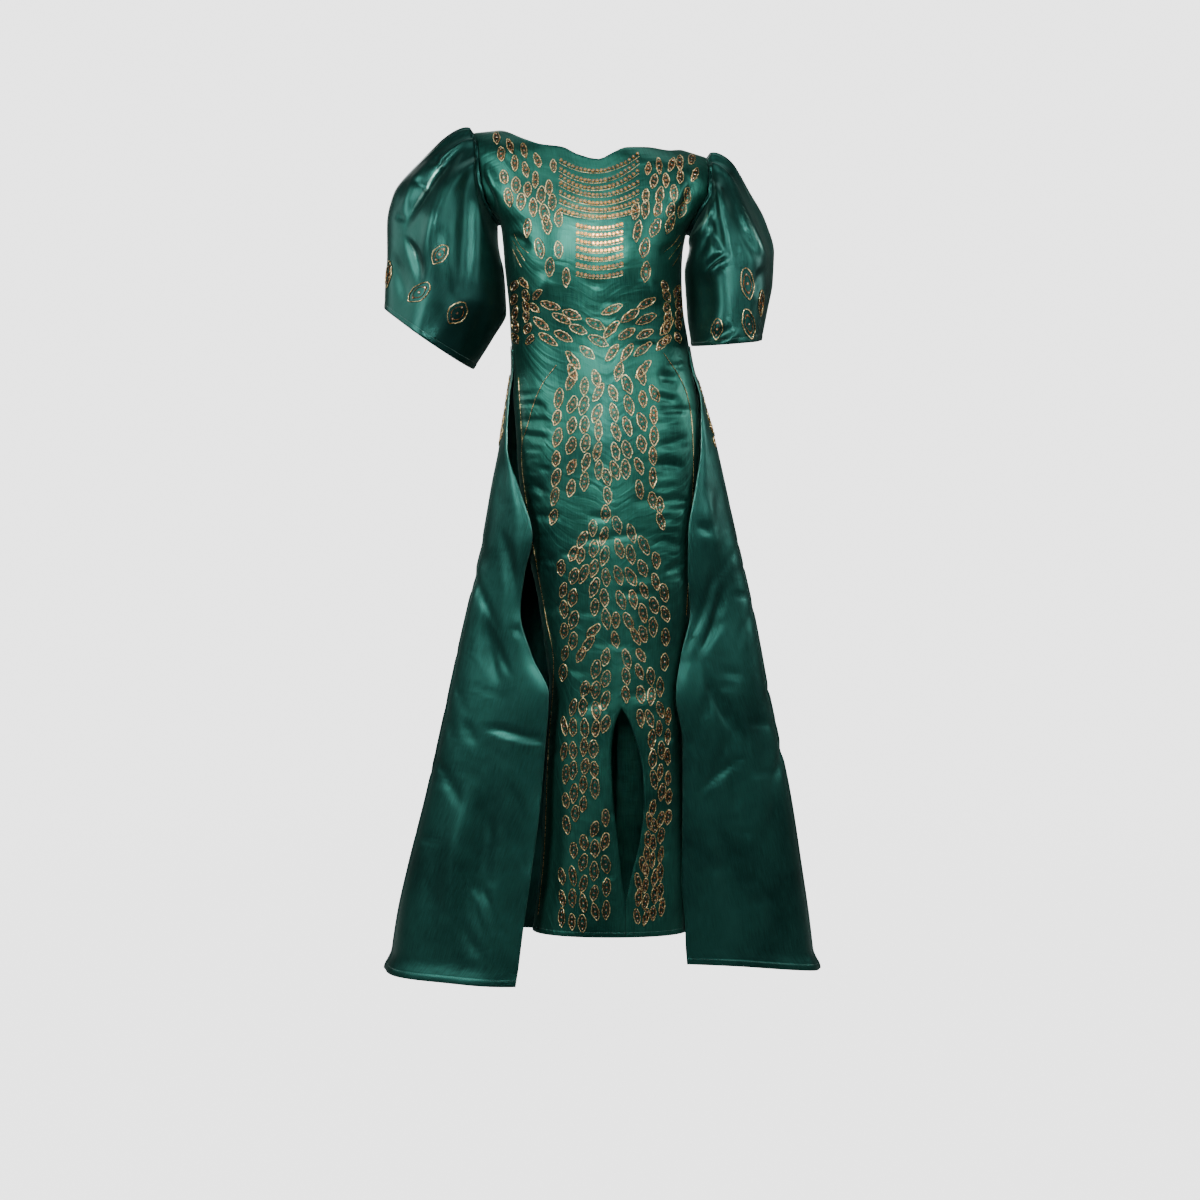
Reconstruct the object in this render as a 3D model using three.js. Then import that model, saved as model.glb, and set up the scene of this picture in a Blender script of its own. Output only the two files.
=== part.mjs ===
// Satin evening gown in its worn, hollow form: a column dress with a boat neck and a front slit, two
// gathered elbow-length puff sleeves, and a flared overskirt sewn on at the waist and open down the front.
// Millimetres, +Z up, +X to the wearer's left, -Y to the front. The origin is midway between the shoulders.
// Every cloth piece is a wall of even thickness under a sheet of outer points, worked out from the tables.
import * as THREE from "three";

// Driving sizes
const WALL = 1.6; // the satin with its turnings
const SEAM_GAP = 0.3; // between two pieces that are sewn together
const WAIST_GAP = 0.4; // where the overskirt is sewn on
const ARMHOLE_GAP = 0.6; // where a gathered sleeve head is sewn in
const SHOULDER_SLOPE = 0.2; // fall of the shoulder line from neck to tip
const SHOULDER_TILT = 0.104; // the wearer's right shoulder is the higher one
const SHOULDER_HALF = 190.5; // half the width across the shoulder tips
const SHOULDER_DROP = 1.8; // the seams lie this far below the tips' own level
const SHOULDER_ROLL = 46; // radius of the cloth where it turns over the shoulder
const ARMHOLE_HOLLOW = 0.6; // depth of the armhole edge as a share of the chest's
const ARMHOLE_TURN = 0.35; // where the armhole starts to turn under the arm
const WAIST_Z = -330;
const HEM_Z = -1324;
const HEM_RISE = 13; // the front of the hem is higher than its sides
const HEM_RISE_OVER = 140;
const SLIT_TOP_Z = -921;
const BUST = { apart: 144, z: -180, width: 50, height: 68, depth: 7 };
const UNDERARM = { rightX: -146, rightZ: -132, leftX: 158, leftZ: -148 };
const DRESS_COLOUR = 0x0f4a3a;
const SLEEVE_COLOUR = 0x0e4536;
const OVERSKIRT_COLOUR = 0x0b382e;
const SATIN = { roughness: 0.35, metalness: 0.1 };

// The column dress, section by section: its centre and half width from the front, its depth in front of and
// behind the middle plane from the side, and how square it is in plan, where power 2 is an ellipse.
const DRESS = [
  { z: 60, centre: 0, half: 190, front: 58, back: 52, power: 2.8 },
  { z: 0, centre: 0, half: 190, front: 76, back: 68, power: 2.8 },
  { z: -48, centre: 3, half: 184, front: 92, back: 80, power: 2.8 },
  { z: -95, centre: 4, half: 165, front: 106, back: 87, power: 2.8 },
  { z: -140, centre: 6, half: 152, front: 115, back: 89, power: 2.8 },
  { z: -185, centre: 5.5, half: 147, front: 119, back: 87, power: 2.7 },
  { z: -264, centre: 10, half: 144, front: 113, back: 80, power: 2.4 },
  { z: -330, centre: 17, half: 147.5, front: 108, back: 78, power: 2.2 },
  { z: -365, centre: 21, half: 148, front: 109, back: 83, power: 2.2 },
  { z: -420, centre: 27, half: 154, front: 112, back: 96, power: 2.2 },
  { z: -500, centre: 33, half: 155, front: 117, back: 113, power: 2.2 },
  { z: -586, centre: 35, half: 150, front: 116, back: 112, power: 2.2 },
  { z: -653, centre: 36, half: 144, front: 113, back: 104, power: 2.2 },
  { z: -755, centre: 43, half: 130, front: 109, back: 93, power: 2.2 },
  { z: -823, centre: 45, half: 123, front: 107, back: 89, power: 2.2 },
  { z: -905, centre: 46, half: 115, front: 106, back: 86, power: 2.2 },
  { z: -1012, centre: 43, half: 119, front: 106, back: 86, power: 2.2 },
  { z: -1100, centre: 43, half: 123, front: 105, back: 87, power: 2.2 },
  { z: -1221, centre: 41, half: 127, front: 104, back: 90, power: 2.2 },
  { z: -1330, centre: 34, half: 134, front: 102, back: 92, power: 2.2 },
];

// Heights of the top edges, from shoulder tip to shoulder tip.
const FRONT_NECK = [
  { x: -190, z: 19 },
  { x: -152, z: 22 },
  { x: -105, z: 4 },
  { x: -79, z: -5 },
  { x: -44, z: -10 },
  { x: -19, z: -22 },
  { x: 14, z: -30 },
  { x: 38, z: -19 },
  { x: 60, z: -10 },
  { x: 94, z: -9 },
  { x: 129, z: -13 },
  { x: 153, z: -10 },
  { x: 191, z: -21 },
];
const BACK_NECK = [
  { x: -190, z: 19 },
  { x: -152, z: 22 },
  { x: -100, z: -4 },
  { x: 0, z: -24 },
  { x: 100, z: -24 },
  { x: 153, z: -10 },
  { x: 191, z: -21 },
];

// Front view of each armhole, from the shoulder tip (down 0) to under the arm (down 1).
const ARMHOLES = [
  { down: 0, rightX: -190, leftX: 191 },
  { down: 0.2, rightX: -181, leftX: 193 },
  { down: 0.45, rightX: -178, leftX: 192 },
  { down: 0.7, rightX: -171, leftX: 177 },
  { down: 0.9, rightX: -157, leftX: 164 },
  { down: 1, rightX: UNDERARM.rightX, leftX: UNDERARM.leftX },
];

// The slit's two edges, from its top down to the hem, where they hang closed.
const SLIT = [
  { z: -921, rightX: 52, leftX: 52.2 },
  { z: -940, rightX: 44, leftX: 64 },
  { z: -965, rightX: 38, leftX: 73 },
  { z: -1000, rightX: 35, leftX: 83 },
  { z: -1040, rightX: 36, leftX: 89 },
  { z: -1084, rightX: 39, leftX: 90 },
  { z: -1145, rightX: 46, leftX: 84 },
  { z: -1204, rightX: 52, leftX: 70 },
  { z: -1274, rightX: 58, leftX: 60.5 },
  { z: -1330, rightX: 58, leftX: 60.5 },
];

// Sleeves, ring by ring from the armhole (along 0) to the hem (along 1). Each ring is an oval between an
// inner point by the body and an outer point, so deep in front and behind, with its middle at the given y.
const SLEEVE_RIGHT = [
  { along: 0, innerX: -146, innerZ: -132, outerX: -190, outerZ: 19, front: 54, back: 50, y: 0 },
  { along: 0.08, innerX: -149, innerZ: -142, outerX: -207, outerZ: 25, front: 70, back: 62, y: 0 },
  { along: 0.2, innerX: -147, innerZ: -160, outerX: -246, outerZ: -2, front: 86, back: 76, y: -2 },
  { along: 0.35, innerX: -144, innerZ: -190, outerX: -292, outerZ: -46, front: 100, back: 90, y: -3 },
  { along: 0.5, innerX: -141, innerZ: -215, outerX: -319, outerZ: -86, front: 106, back: 98, y: -4 },
  { along: 0.65, innerX: -139, innerZ: -245, outerX: -330, outerZ: -132, front: 106, back: 100, y: -5 },
  { along: 0.8, innerX: -138, innerZ: -277, outerX: -331, outerZ: -187, front: 102, back: 98, y: -5 },
  { along: 0.9, innerX: -161, innerZ: -318, outerX: -335, outerZ: -229, front: 98, back: 95, y: -5 },
  { along: 1, innerX: -193, innerZ: -368, outerX: -337, outerZ: -269, front: 95, back: 93, y: -5 },
];
const SLEEVE_LEFT = [
  { along: 0, innerX: 158, innerZ: -148, outerX: 191, outerZ: -21, front: 54, back: 50, y: 0 },
  { along: 0.08, innerX: 160, innerZ: -158, outerX: 208, outerZ: -17, front: 72, back: 62, y: 0 },
  { along: 0.2, innerX: 158, innerZ: -174, outerX: 234, outerZ: -36, front: 92, back: 78, y: 0 },
  { along: 0.35, innerX: 156, innerZ: -196, outerX: 265, outerZ: -84, front: 108, back: 96, y: 2 },
  { along: 0.5, innerX: 156, innerZ: -217, outerX: 288, outerZ: -128, front: 117, back: 108, y: 3 },
  { along: 0.65, innerX: 157, innerZ: -240, outerX: 303, outerZ: -178, front: 121, back: 114, y: 4 },
  { along: 0.8, innerX: 161, innerZ: -281, outerX: 302, outerZ: -226, front: 122, back: 117, y: 5 },
  { along: 0.9, innerX: 165, innerZ: -306, outerX: 294, outerZ: -272, front: 121, back: 118, y: 5 },
  { along: 1, innerX: 169, innerZ: -330, outerX: 285, outerZ: -321, front: 120, back: 118, y: 5 },
];
const GATHERS = 11; // round a sleeve's head, deepest at the shoulder
const GATHER_DEPTH = 5.5;
const GATHER_CROWDING = 0.4; // how much closer they sit at the shoulder than under the arm
const GATHER_ALONG = { from: 0.05, deepest: 0.11, spread: 0.14 };
const GATHER_ROUND = { middle: 0.45, swing: 0.75 }; // full at the shoulder, none under the arm
const SLEEVE_FOLDS = 5; // soft folds below them
const SLEEVE_FOLD_DEPTH = 7;
const SLEEVE_FOLD_ALONG = { from: 0.2, over: 0.3, fade: 0.4 };
const SLEEVE_FOLD_ROUND = { middle: 0.5, swing: 0.7, turn: 0.6 };
const HEAD_LENGTH = 0.2; // the armhole's shape has become an oval by here
const SLEEVE_CLEARANCE = { by: 5, from: 0.06, until: 0.14, fade: 0.3 }; // off the armhole

// The overskirt, level by level: its outline from the front, where that outline lies from the side, and how
// far back the middle of its back is.
const OVERSKIRT = [
  { z: -330, right: -136, left: 168, y: 0, back: 82 },
  { z: -420, right: -142, left: 191, y: 2, back: 106 },
  { z: -495, right: -152, left: 212, y: 4, back: 126 },
  { z: -560, right: -165, left: 227, y: 7, back: 142 },
  { z: -640, right: -179, left: 245, y: 11, back: 162 },
  { z: -700, right: -191, left: 259, y: 15, back: 178 },
  { z: -770, right: -207, left: 275, y: 19, back: 196 },
  { z: -840, right: -223, left: 289, y: 23, back: 213 },
  { z: -905, right: -237, left: 301, y: 27, back: 229 },
  { z: -992, right: -256, left: 320, y: 31, back: 250 },
  { z: -1100, right: -281, left: 343, y: 35, back: 275 },
  { z: -1228, right: -314, left: 364, y: 38, back: 304 },
  { z: -1311, right: -333, left: 377, y: 40, back: 323 },
  { z: -1420, right: -350, left: 391, y: 42, back: 346 },
];

// Its two front edges, as they hang.
const OVERSKIRT_EDGES = [
  { z: -330, rightX: -132, rightY: -30, leftX: 163, leftY: -30 },
  { z: -420, rightX: -136, rightY: -38, leftX: 184, leftY: -38 },
  { z: -495, rightX: -136, rightY: -50, leftX: 183, leftY: -54 },
  { z: -560, rightX: -116, rightY: -70, leftX: 174, leftY: -68 },
  { z: -640, rightX: -94, rightY: -82, leftX: 162, leftY: -74 },
  { z: -700, rightX: -107, rightY: -70, leftX: 162, leftY: -66 },
  { z: -770, rightX: -115, rightY: -62, leftX: 166, leftY: -58 },
  { z: -840, rightX: -96, rightY: -66, leftX: 151, leftY: -66 },
  { z: -905, rightX: -68, rightY: -74, leftX: 143, leftY: -72 },
  { z: -992, rightX: -74, rightY: -72, leftX: 155, leftY: -62 },
  { z: -1100, rightX: -84, rightY: -70, leftX: 155, leftY: -58 },
  { z: -1228, rightX: -101, rightY: -70, leftX: 154, leftY: -54 },
  { z: -1311, rightX: -113, rightY: -74, leftX: 161, leftY: -46 },
  { z: -1420, rightX: -126, rightY: -82, leftX: 164, leftY: -40 },
];
const OVERSKIRT_HEM = { right: -1402, left: -1374, side: -1408, back: -1414 };
const OVERSKIRT_CENTRE = 26; // x of the centre-back seam at the hem
const OVERSKIRT_BOW = 1.18; // its front faces in plan: 1 is an ellipse, more is flatter
const EDGE_TURN = 5 / 6; // where its front edge starts, from the front (0) to the side seam (1)
const STAND_OFF = 0.05; // it leaves the dress by this much for each millimetre down
const BLEND_FROM_Z = -335; // it leaves the dress here
const BLEND_TO_Z = -470; // and hangs free below here
const BACK_FOLDS = 3; // soft folds in each half of the back
const BACK_FOLD_DEPTH = 16;
const FACE_FOLDS = 1.5; // and in each front face
const FACE_FOLD_DEPTH = 6;
const FACE_FOLD_TURN = 0.8;
const FOLD_START = 0.15; // how much of their depth the folds have where it hangs free
const FOLD_LENGTH = 700; // and how far down they take to reach it all
const HEM_FLIP = 9; // the hem turns outwards by this at the sides
const HEM_FLIP_LEAST = 0.3; // and by this share of it at the edges
const HEM_FLIP_HEIGHT = 34;

// Mesh steps
const DRESS_ROWS = [
  -165, -200, -240, -285, -330, -370, -415, -465, -515, -570, -625, -685, -745, -805, -865, -921,
  -945, -975, -1015, -1060, -1110, -1165, -1225, -1280, HEM_Z,
];
const FRONT_COLUMNS = 24;
const SLIT_COLUMN = 13;
const BACK_COLUMNS = 15;
const SLEEVE_COLUMNS = 4 * GATHERS;
const SLEEVE_ROWS = [0, 0.04, 0.09, 0.15, 0.22, 0.31, 0.41, 0.52, 0.63, 0.74, 0.84, 0.93, 1];
const FACE_COLUMNS = 8;
const TRAIN_COLUMNS = BACK_COLUMNS;
const OVERSKIRT_ROWS = [
  0, 0.02, 0.05, 0.085, 0.125, 0.17, 0.22, 0.275, 0.33, 0.39, 0.45, 0.51, 0.57, 0.63, 0.69, 0.76,
  0.83, 0.9, 0.95, 0.98, 1,
];

const { abs, sin, cos, asin, acos, sqrt, min, max, sign, PI } = Math;
const clamp01 = (t) => min(1, max(0, t));
const mix = (a, b, t) => a + (b - a) * t;
const smoothStep = (t) => clamp01(t) ** 2 * (3 - 2 * clamp01(t));
const signedPower = (t, p) => sign(t) * abs(t) ** p;

// A smooth curve through one column of a table, with no overshoot between its rows.
function tableCurve(rows, key, column) {
  const sorted = [...rows].sort((a, b) => a[key] - b[key]);
  const at = sorted.map((row) => row[key]);
  const value = sorted.map((row) => row[column]);
  const slope = at.slice(1).map((end, i) => (value[i + 1] - value[i]) / (end - at[i]));
  const tangent = at.map((_, i) => {
    const before = slope[max(i - 1, 0)];
    const after = slope[min(i, slope.length - 1)];
    return before * after <= 0 ? 0 : (2 * before * after) / (before + after);
  });
  return (where) => {
    const x = min(at.at(-1), max(at[0], where));
    const i = min(at.length - 2, max(0, at.findLastIndex((start) => start <= x)));
    const step = at[i + 1] - at[i];
    const t = (x - at[i]) / step;
    const bend = (1 - t) * t * step;
    const straight = mix(value[i], value[i + 1], t * t * (3 - 2 * t));
    return straight + bend * ((1 - t) * tangent[i] - t * tangent[i + 1]);
  };
}
const curvesOf = (rows, key) =>
  Object.fromEntries(
    Object.keys(rows[0]).filter((name) => name !== key).map((name) => [name, tableCurve(rows, key, name)]),
  );

const dress = curvesOf(DRESS, "z");
const frontNeck = tableCurve(FRONT_NECK, "x", "z");
const backNeck = tableCurve(BACK_NECK, "x", "z");
const armhole = curvesOf(ARMHOLES, "down");
const slit = curvesOf(SLIT, "z");
const overskirt = curvesOf(OVERSKIRT, "z");
const overskirtEdge = curvesOf(OVERSKIRT_EDGES, "z");

// The height of the shoulder line, carried on over the neck, and how far round it the cloth has turned.
const shoulderLine = (x) => (SHOULDER_HALF - abs(x)) * SHOULDER_SLOPE - x * SHOULDER_TILT - SHOULDER_DROP;
const topEdge = (neck, x) => min(neck(x), shoulderLine(x));
function shoulderRoll(x, z) {
  const turned = clamp01((shoulderLine(x) - z) / SHOULDER_ROLL);
  return sqrt(1 - (1 - turned) ** 2);
}

// Two soft cups at the bust, as the darts give them.
function bustFullness(x, z) {
  const sideways = (abs(x - dress.centre(z)) - BUST.apart / 2) / BUST.width;
  const upwards = (z - BUST.z) / BUST.height;
  return BUST.depth * Math.exp(-sideways * sideways - upwards * upwards);
}

// The armhole edge's depth, in front and behind, as a share of the section's.
function armholeShare(down) {
  const turned = clamp01((down - ARMHOLE_TURN) / (1 - ARMHOLE_TURN));
  return ARMHOLE_HOLLOW * sqrt(1 - turned * turned);
}

// The level line from under one arm to under the other.
const underarmZ = (x) =>
  mix(UNDERARM.rightZ, UNDERARM.leftZ, (x - UNDERARM.rightX) / (UNDERARM.leftX - UNDERARM.rightX));

// A point of the dress above the arms. Turn runs from -1 at the right armhole to 1 at the left.
function upperPoint(turn, down, neck, facing) {
  const right = armhole.rightX(down);
  const left = armhole.leftX(down);
  const round = 2 / dress.power(UNDERARM.rightZ);
  const edge = acos(armholeShare(down) ** (1 / round));
  const half = (left - right) / 2 / sin(edge) ** round;
  const angle = turn * edge;
  const x = (left + right) / 2 + half * signedPower(sin(angle), round);
  const z = mix(topEdge(neck, x), underarmZ(x), down);
  const depth = facing < 0 ? dress.front(z) : dress.back(z);
  const full = facing < 0 ? bustFullness(x, z) * clamp01(cos(angle)) : 0;
  const y = facing * (depth * cos(angle) ** round * shoulderRoll(x, z) + full);
  return new THREE.Vector3(x, y, z);
}

// The rows below the arms start level with them and are flat by the waist.
function levelled(row, x) {
  const share = clamp01((row - WAIST_Z) / (underarmZ(0) - WAIST_Z));
  return row + (underarmZ(x) - underarmZ(0)) * share;
}

// A point of the dress below the arms. Turn runs from -1 at the right side seam to 1 at the left.
function lowerPoint(turn, row, facing) {
  const angle = (turn * PI) / 2;
  const round = 2 / dress.power(row);
  const reach = signedPower(sin(angle), round);
  const forward = clamp01(cos(angle));
  const rise = HEM_RISE * forward * smoothStep((HEM_Z + HEM_RISE_OVER - row) / HEM_RISE_OVER);
  const z = levelled(row, dress.centre(row) + dress.half(row) * reach) + (facing < 0 ? rise : 0);
  const x = dress.centre(z) + dress.half(z) * reach;
  const depth = facing < 0 ? dress.front(z) : dress.back(z);
  const full = facing < 0 ? bustFullness(x, z) * forward : 0;
  return new THREE.Vector3(x, facing * (depth * forward ** round + full), z);
}

// The level direction out of the dress there.
function lowerNormal(turn, z, facing) {
  const angle = (turn * PI) / 2;
  const power = 2 - 2 / dress.power(z);
  const depth = facing < 0 ? dress.front(z) : dress.back(z);
  const across = signedPower(sin(angle), power) / dress.half(z);
  return new THREE.Vector3(across, (facing * clamp01(cos(angle)) ** power) / depth, 0).normalize();
}

// The turn at which the dress is this far across.
function turnAt(x, z) {
  const reach = min(1, abs((x - dress.centre(z)) / dress.half(z)));
  return (sign(x - dress.centre(z)) * asin(reach ** (dress.power(z) / 2))) / (PI / 2);
}

// Angles round a sleeve's head, closer together at the shoulder. The dress's rows meet every second one.
const headAngle = (column) => {
  const even = (2 * PI * column) / SLEEVE_COLUMNS;
  return even - GATHER_CROWDING * sin(even);
};
const headDown = (column) => (1 - cos(headAngle(column))) / 2;
const headRows = Array.from({ length: SLEEVE_COLUMNS / 4 + 1 }, (_, row) => ({ down: headDown(2 * row) }));
const dressRows = [...headRows, ...DRESS_ROWS.map((z) => ({ z }))];
const dressPoint = (turn, row, neck, facing) =>
  row.down === undefined ? lowerPoint(turn, row.z, facing) : upperPoint(turn, row.down, neck, facing);

// A sheet of outer points. Held axes keep a seam's edge face square to that axis.
class Sheet {
  constructor() {
    this.points = [];
    this.quads = [];
    this.held = new Map();
  }

  add(point, held) {
    this.points.push(point);
    if (held) this.held.set(this.points.length - 1, held);
    return this.points.length - 1;
  }

  // Every corner's direction out of the cloth, from the faces round it.
  normals() {
    const sums = this.points.map(() => new THREE.Vector3());
    for (const quad of this.quads) {
      const [a, b, c, d] = quad.map((i) => this.points[i]);
      const across = new THREE.Vector3().subVectors(c, a).cross(new THREE.Vector3().subVectors(d, b));
      for (const i of quad) sums[i].add(across);
    }
    for (const [i, axes] of this.held) for (const axis of axes) sums[i][axis] = 0;
    return sums.map((sum) => sum.normalize());
  }

  // The closed wall under the sheet: outer faces, inner faces, and a rim along every free edge.
  wall(thickness = WALL) {
    const count = this.points.length;
    const inner = this.normals().map((normal, i) =>
      this.points[i].clone().addScaledVector(normal, -thickness),
    );
    const faces = [];
    const free = new Map();
    for (const [a, b, c, d] of this.quads) {
      faces.push([a, b, c], [a, c, d]);
      faces.push([c + count, b + count, a + count], [d + count, c + count, a + count]);
      for (const [from, to] of [[a, b], [b, c], [c, d], [d, a]]) {
        if (!free.delete(`${to},${from}`)) free.set(`${from},${to}`, [from, to]);
      }
    }
    for (const [from, to] of free.values()) {
      faces.push([to, from, from + count], [to, from + count, to + count]);
    }
    const flat = [...this.points, ...inner].flatMap((point) => point.toArray());
    const geometry = new THREE.BufferGeometry();
    geometry.setAttribute("position", new THREE.BufferAttribute(new Float32Array(flat), 3));
    geometry.setIndex(faces.flat());
    geometry.computeVertexNormals();
    return geometry;
  }
}

// A grid of rows and columns, open or closed into a tube.
function gridSheet(rows, columns, pointAt, { closed = false, heldAt = () => "" } = {}) {
  const sheet = new Sheet();
  const across = closed ? columns : columns + 1;
  for (let i = 0; i <= rows; i++) {
    for (let j = 0; j < across; j++) sheet.add(pointAt(i, j), heldAt(i, j));
  }
  const at = (i, j) => i * across + (j % across);
  for (let i = 0; i < rows; i++) {
    for (let j = 0; j < columns; j++) {
      sheet.quads.push([at(i, j), at(i + 1, j), at(i + 1, j + 1), at(i, j + 1)]);
    }
  }
  return sheet;
}

// The front and back meet in the middle plane, along the shoulders and down the sides.
const onSeam = (point) => abs(point.y) < SEAM_GAP;

// The front, cut in one from neck to hem and parted down the slit's column.
function frontSheet() {
  const sheet = new Sheet();
  const slitTurn = -1 + (2 * SLIT_COLUMN) / FRONT_COLUMNS;
  const parted = (row) => row.z !== undefined && row.z < SLIT_TOP_Z;
  const turnOf = (row, j, side) => {
    const plain = -1 + (2 * j) / FRONT_COLUMNS;
    if (row.z === undefined || row.z > SLIT_TOP_Z) return plain;
    const rightEdge = turnAt(slit.rightX(row.z), row.z);
    const leftEdge = turnAt(slit.leftX(row.z), row.z);
    return side === "right"
      ? mix(-1, rightEdge, (plain + 1) / (slitTurn + 1))
      : mix(leftEdge, 1, (plain - slitTurn) / (1 - slitTurn));
  };
  const index = dressRows.map((row) => {
    const place = (j, side) => {
      const point = dressPoint(turnOf(row, j, side), row, frontNeck, -1);
      const sewn = onSeam(point);
      point.y = min(point.y, -SEAM_GAP / 2);
      return sheet.add(point, sewn ? "y" : "");
    };
    const right = [];
    const left = [];
    for (let j = 0; j <= SLIT_COLUMN; j++) right[j] = place(j, "right");
    for (let j = SLIT_COLUMN; j <= FRONT_COLUMNS; j++) {
      left[j] = j === SLIT_COLUMN && !parted(row) ? right[j] : place(j, "left");
    }
    return { right, left };
  });
  for (let i = 0; i + 1 < index.length; i++) {
    for (let j = 0; j < FRONT_COLUMNS; j++) {
      const half = j < SLIT_COLUMN ? "right" : "left";
      const above = index[i][half];
      const below = index[i + 1][half];
      sheet.quads.push([above[j], below[j], below[j + 1], above[j + 1]]);
    }
  }
  return sheet;
}

// Half of the back, from the centre-back seam to the side seam.
function backSheet(side) {
  const towards = side === "left" ? 1 : -1;
  const fromSeam = side === "left" ? (j) => BACK_COLUMNS - j : (j) => j;
  const middle = (j) => fromSeam(j) === 0;
  const plain = (i, j) => dressPoint((towards * fromSeam(j)) / BACK_COLUMNS, dressRows[i], backNeck, 1);
  const pointAt = (i, j) => {
    const point = plain(i, j);
    point.y = max(point.y, SEAM_GAP / 2);
    if (middle(j)) point.x += (towards * SEAM_GAP) / 2;
    return point;
  };
  const heldAt = (i, j) => (onSeam(plain(i, j)) ? "y" : "") + (middle(j) ? "x" : "");
  return gridSheet(dressRows.length - 1, BACK_COLUMNS, pointAt, { heldAt });
}

// The armhole's edge as a loop of points, from the shoulder round the front. Its odd points lie between the
// dress's rows, on the straight edge that joins them.
function armholePoint(side, column) {
  if (column % 2) {
    return armholePoint(side, column - 1).lerp(armholePoint(side, column + 1), 0.5);
  }
  const inFront = column <= SLEEVE_COLUMNS / 2;
  const neck = inFront ? frontNeck : backNeck;
  return upperPoint(side === "left" ? 1 : -1, headDown(column), neck, inFront ? -1 : 1);
}

// How far a sleeve's cloth stands out of its oval: gathers round the head and soft folds below them.
function sleeveSwell(along, angle, column, outwards) {
  const gathered =
    Math.exp(-(((along - GATHER_ALONG.deepest) / GATHER_ALONG.spread) ** 2)) *
    smoothStep(along / GATHER_ALONG.from) *
    clamp01(GATHER_ROUND.middle + GATHER_ROUND.swing * cos(angle));
  const folded =
    smoothStep((along - SLEEVE_FOLD_ALONG.from) / SLEEVE_FOLD_ALONG.over) *
    (1 - SLEEVE_FOLD_ALONG.fade * along) *
    smoothStep(SLEEVE_FOLD_ROUND.middle + SLEEVE_FOLD_ROUND.swing * cos(angle));
  const turned = SLEEVE_FOLDS * angle + outwards * (SLEEVE_FOLD_ROUND.turn + along);
  const gather = cos((2 * PI * GATHERS * column) / SLEEVE_COLUMNS);
  return GATHER_DEPTH * gathered * gather + SLEEVE_FOLD_DEPTH * folded * cos(turned);
}

// A sleeve: its head lies in the armhole, and each ring below is an oval with that swell.
function sleeveSheet(side, rings) {
  const ring = curvesOf(rings, "along");
  const outwards = side === "left" ? 1 : -1;
  const pointAt = (i, j) => {
    const along = SLEEVE_ROWS[i];
    const angle = headAngle(j);
    const head = armholePoint(side, j);
    head.x += outwards * ARMHOLE_GAP;
    const outer = new THREE.Vector3(ring.outerX(along), ring.y(along), ring.outerZ(along));
    const inner = new THREE.Vector3(ring.innerX(along), ring.y(along), ring.innerZ(along));
    const centre = new THREE.Vector3().lerpVectors(inner, outer, 0.5);
    const oval = new THREE.Vector3().lerpVectors(inner, outer, (1 + cos(angle)) / 2);
    oval.y -= sin(angle) * (sin(angle) >= 0 ? ring.front(along) : ring.back(along));
    const point = new THREE.Vector3().lerpVectors(head, oval, smoothStep(along / HEAD_LENGTH));
    const radial = new THREE.Vector3().subVectors(point, centre).normalize();
    point.addScaledVector(radial, sleeveSwell(along, angle, j, outwards));

    const { by, from, until, fade } = SLEEVE_CLEARANCE;
    const clear = outwards * head.x + by * smoothStep(along / from);
    const near = 1 - smoothStep((along - until) / fade);
    point.x += outwards * near * max(0, clear - outwards * point.x);
    return point;
  };
  const inOrder = (i, j) => pointAt(i, side === "left" ? SLEEVE_COLUMNS - j : j);
  return gridSheet(SLEEVE_ROWS.length - 1, SLEEVE_COLUMNS, inOrder, { closed: true });
}

// Where a point of half the overskirt would hang. OnFace runs from its front edge to the side, and onBack
// from there to the centre-back seam.
function hungPoint(side, onFace, onBack, z, seamX, hem) {
  const sideX = overskirt[side](z);
  const sideY = overskirt.y(z);
  const edge = { x: overskirtEdge[side + "X"](z), y: overskirtEdge[side + "Y"](z) };
  const swing = (PI / 2) * (1 - onFace);
  const round = (PI / 2) * onBack;
  const hung = new THREE.Vector3(
    onBack > 0 ? mix(seamX, sideX, cos(round)) : mix(edge.x, sideX, cos(swing) ** OVERSKIRT_BOW),
    onBack > 0 ? mix(sideY, overskirt.back(z), sin(round)) : mix(sideY, edge.y, sin(swing) ** OVERSKIRT_BOW),
    z,
  );
  const outwards = new THREE.Vector3(hung.x - (seamX + edge.x) / 2, hung.y - sideY, 0).normalize();
  const fallen = smoothStep((BLEND_TO_Z - z) / FOLD_LENGTH + FOLD_START);
  const backFold = sqrt(sin(PI * onBack)) * cos(2 * PI * BACK_FOLDS * onBack);
  const faceFold = sin(PI * onFace) * sin(2 * PI * FACE_FOLDS * onFace + FACE_FOLD_TURN);
  const fold = fallen * (BACK_FOLD_DEPTH * backFold + FACE_FOLD_DEPTH * faceFold);
  const turnedUp = smoothStep(1 - (z - hem) / HEM_FLIP_HEIGHT);
  const flip = turnedUp * mix(HEM_FLIP_LEAST, 1, sin((PI * (onFace + onBack)) / 2));
  return hung.addScaledVector(outwards, fold + HEM_FLIP * flip);
}

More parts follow.
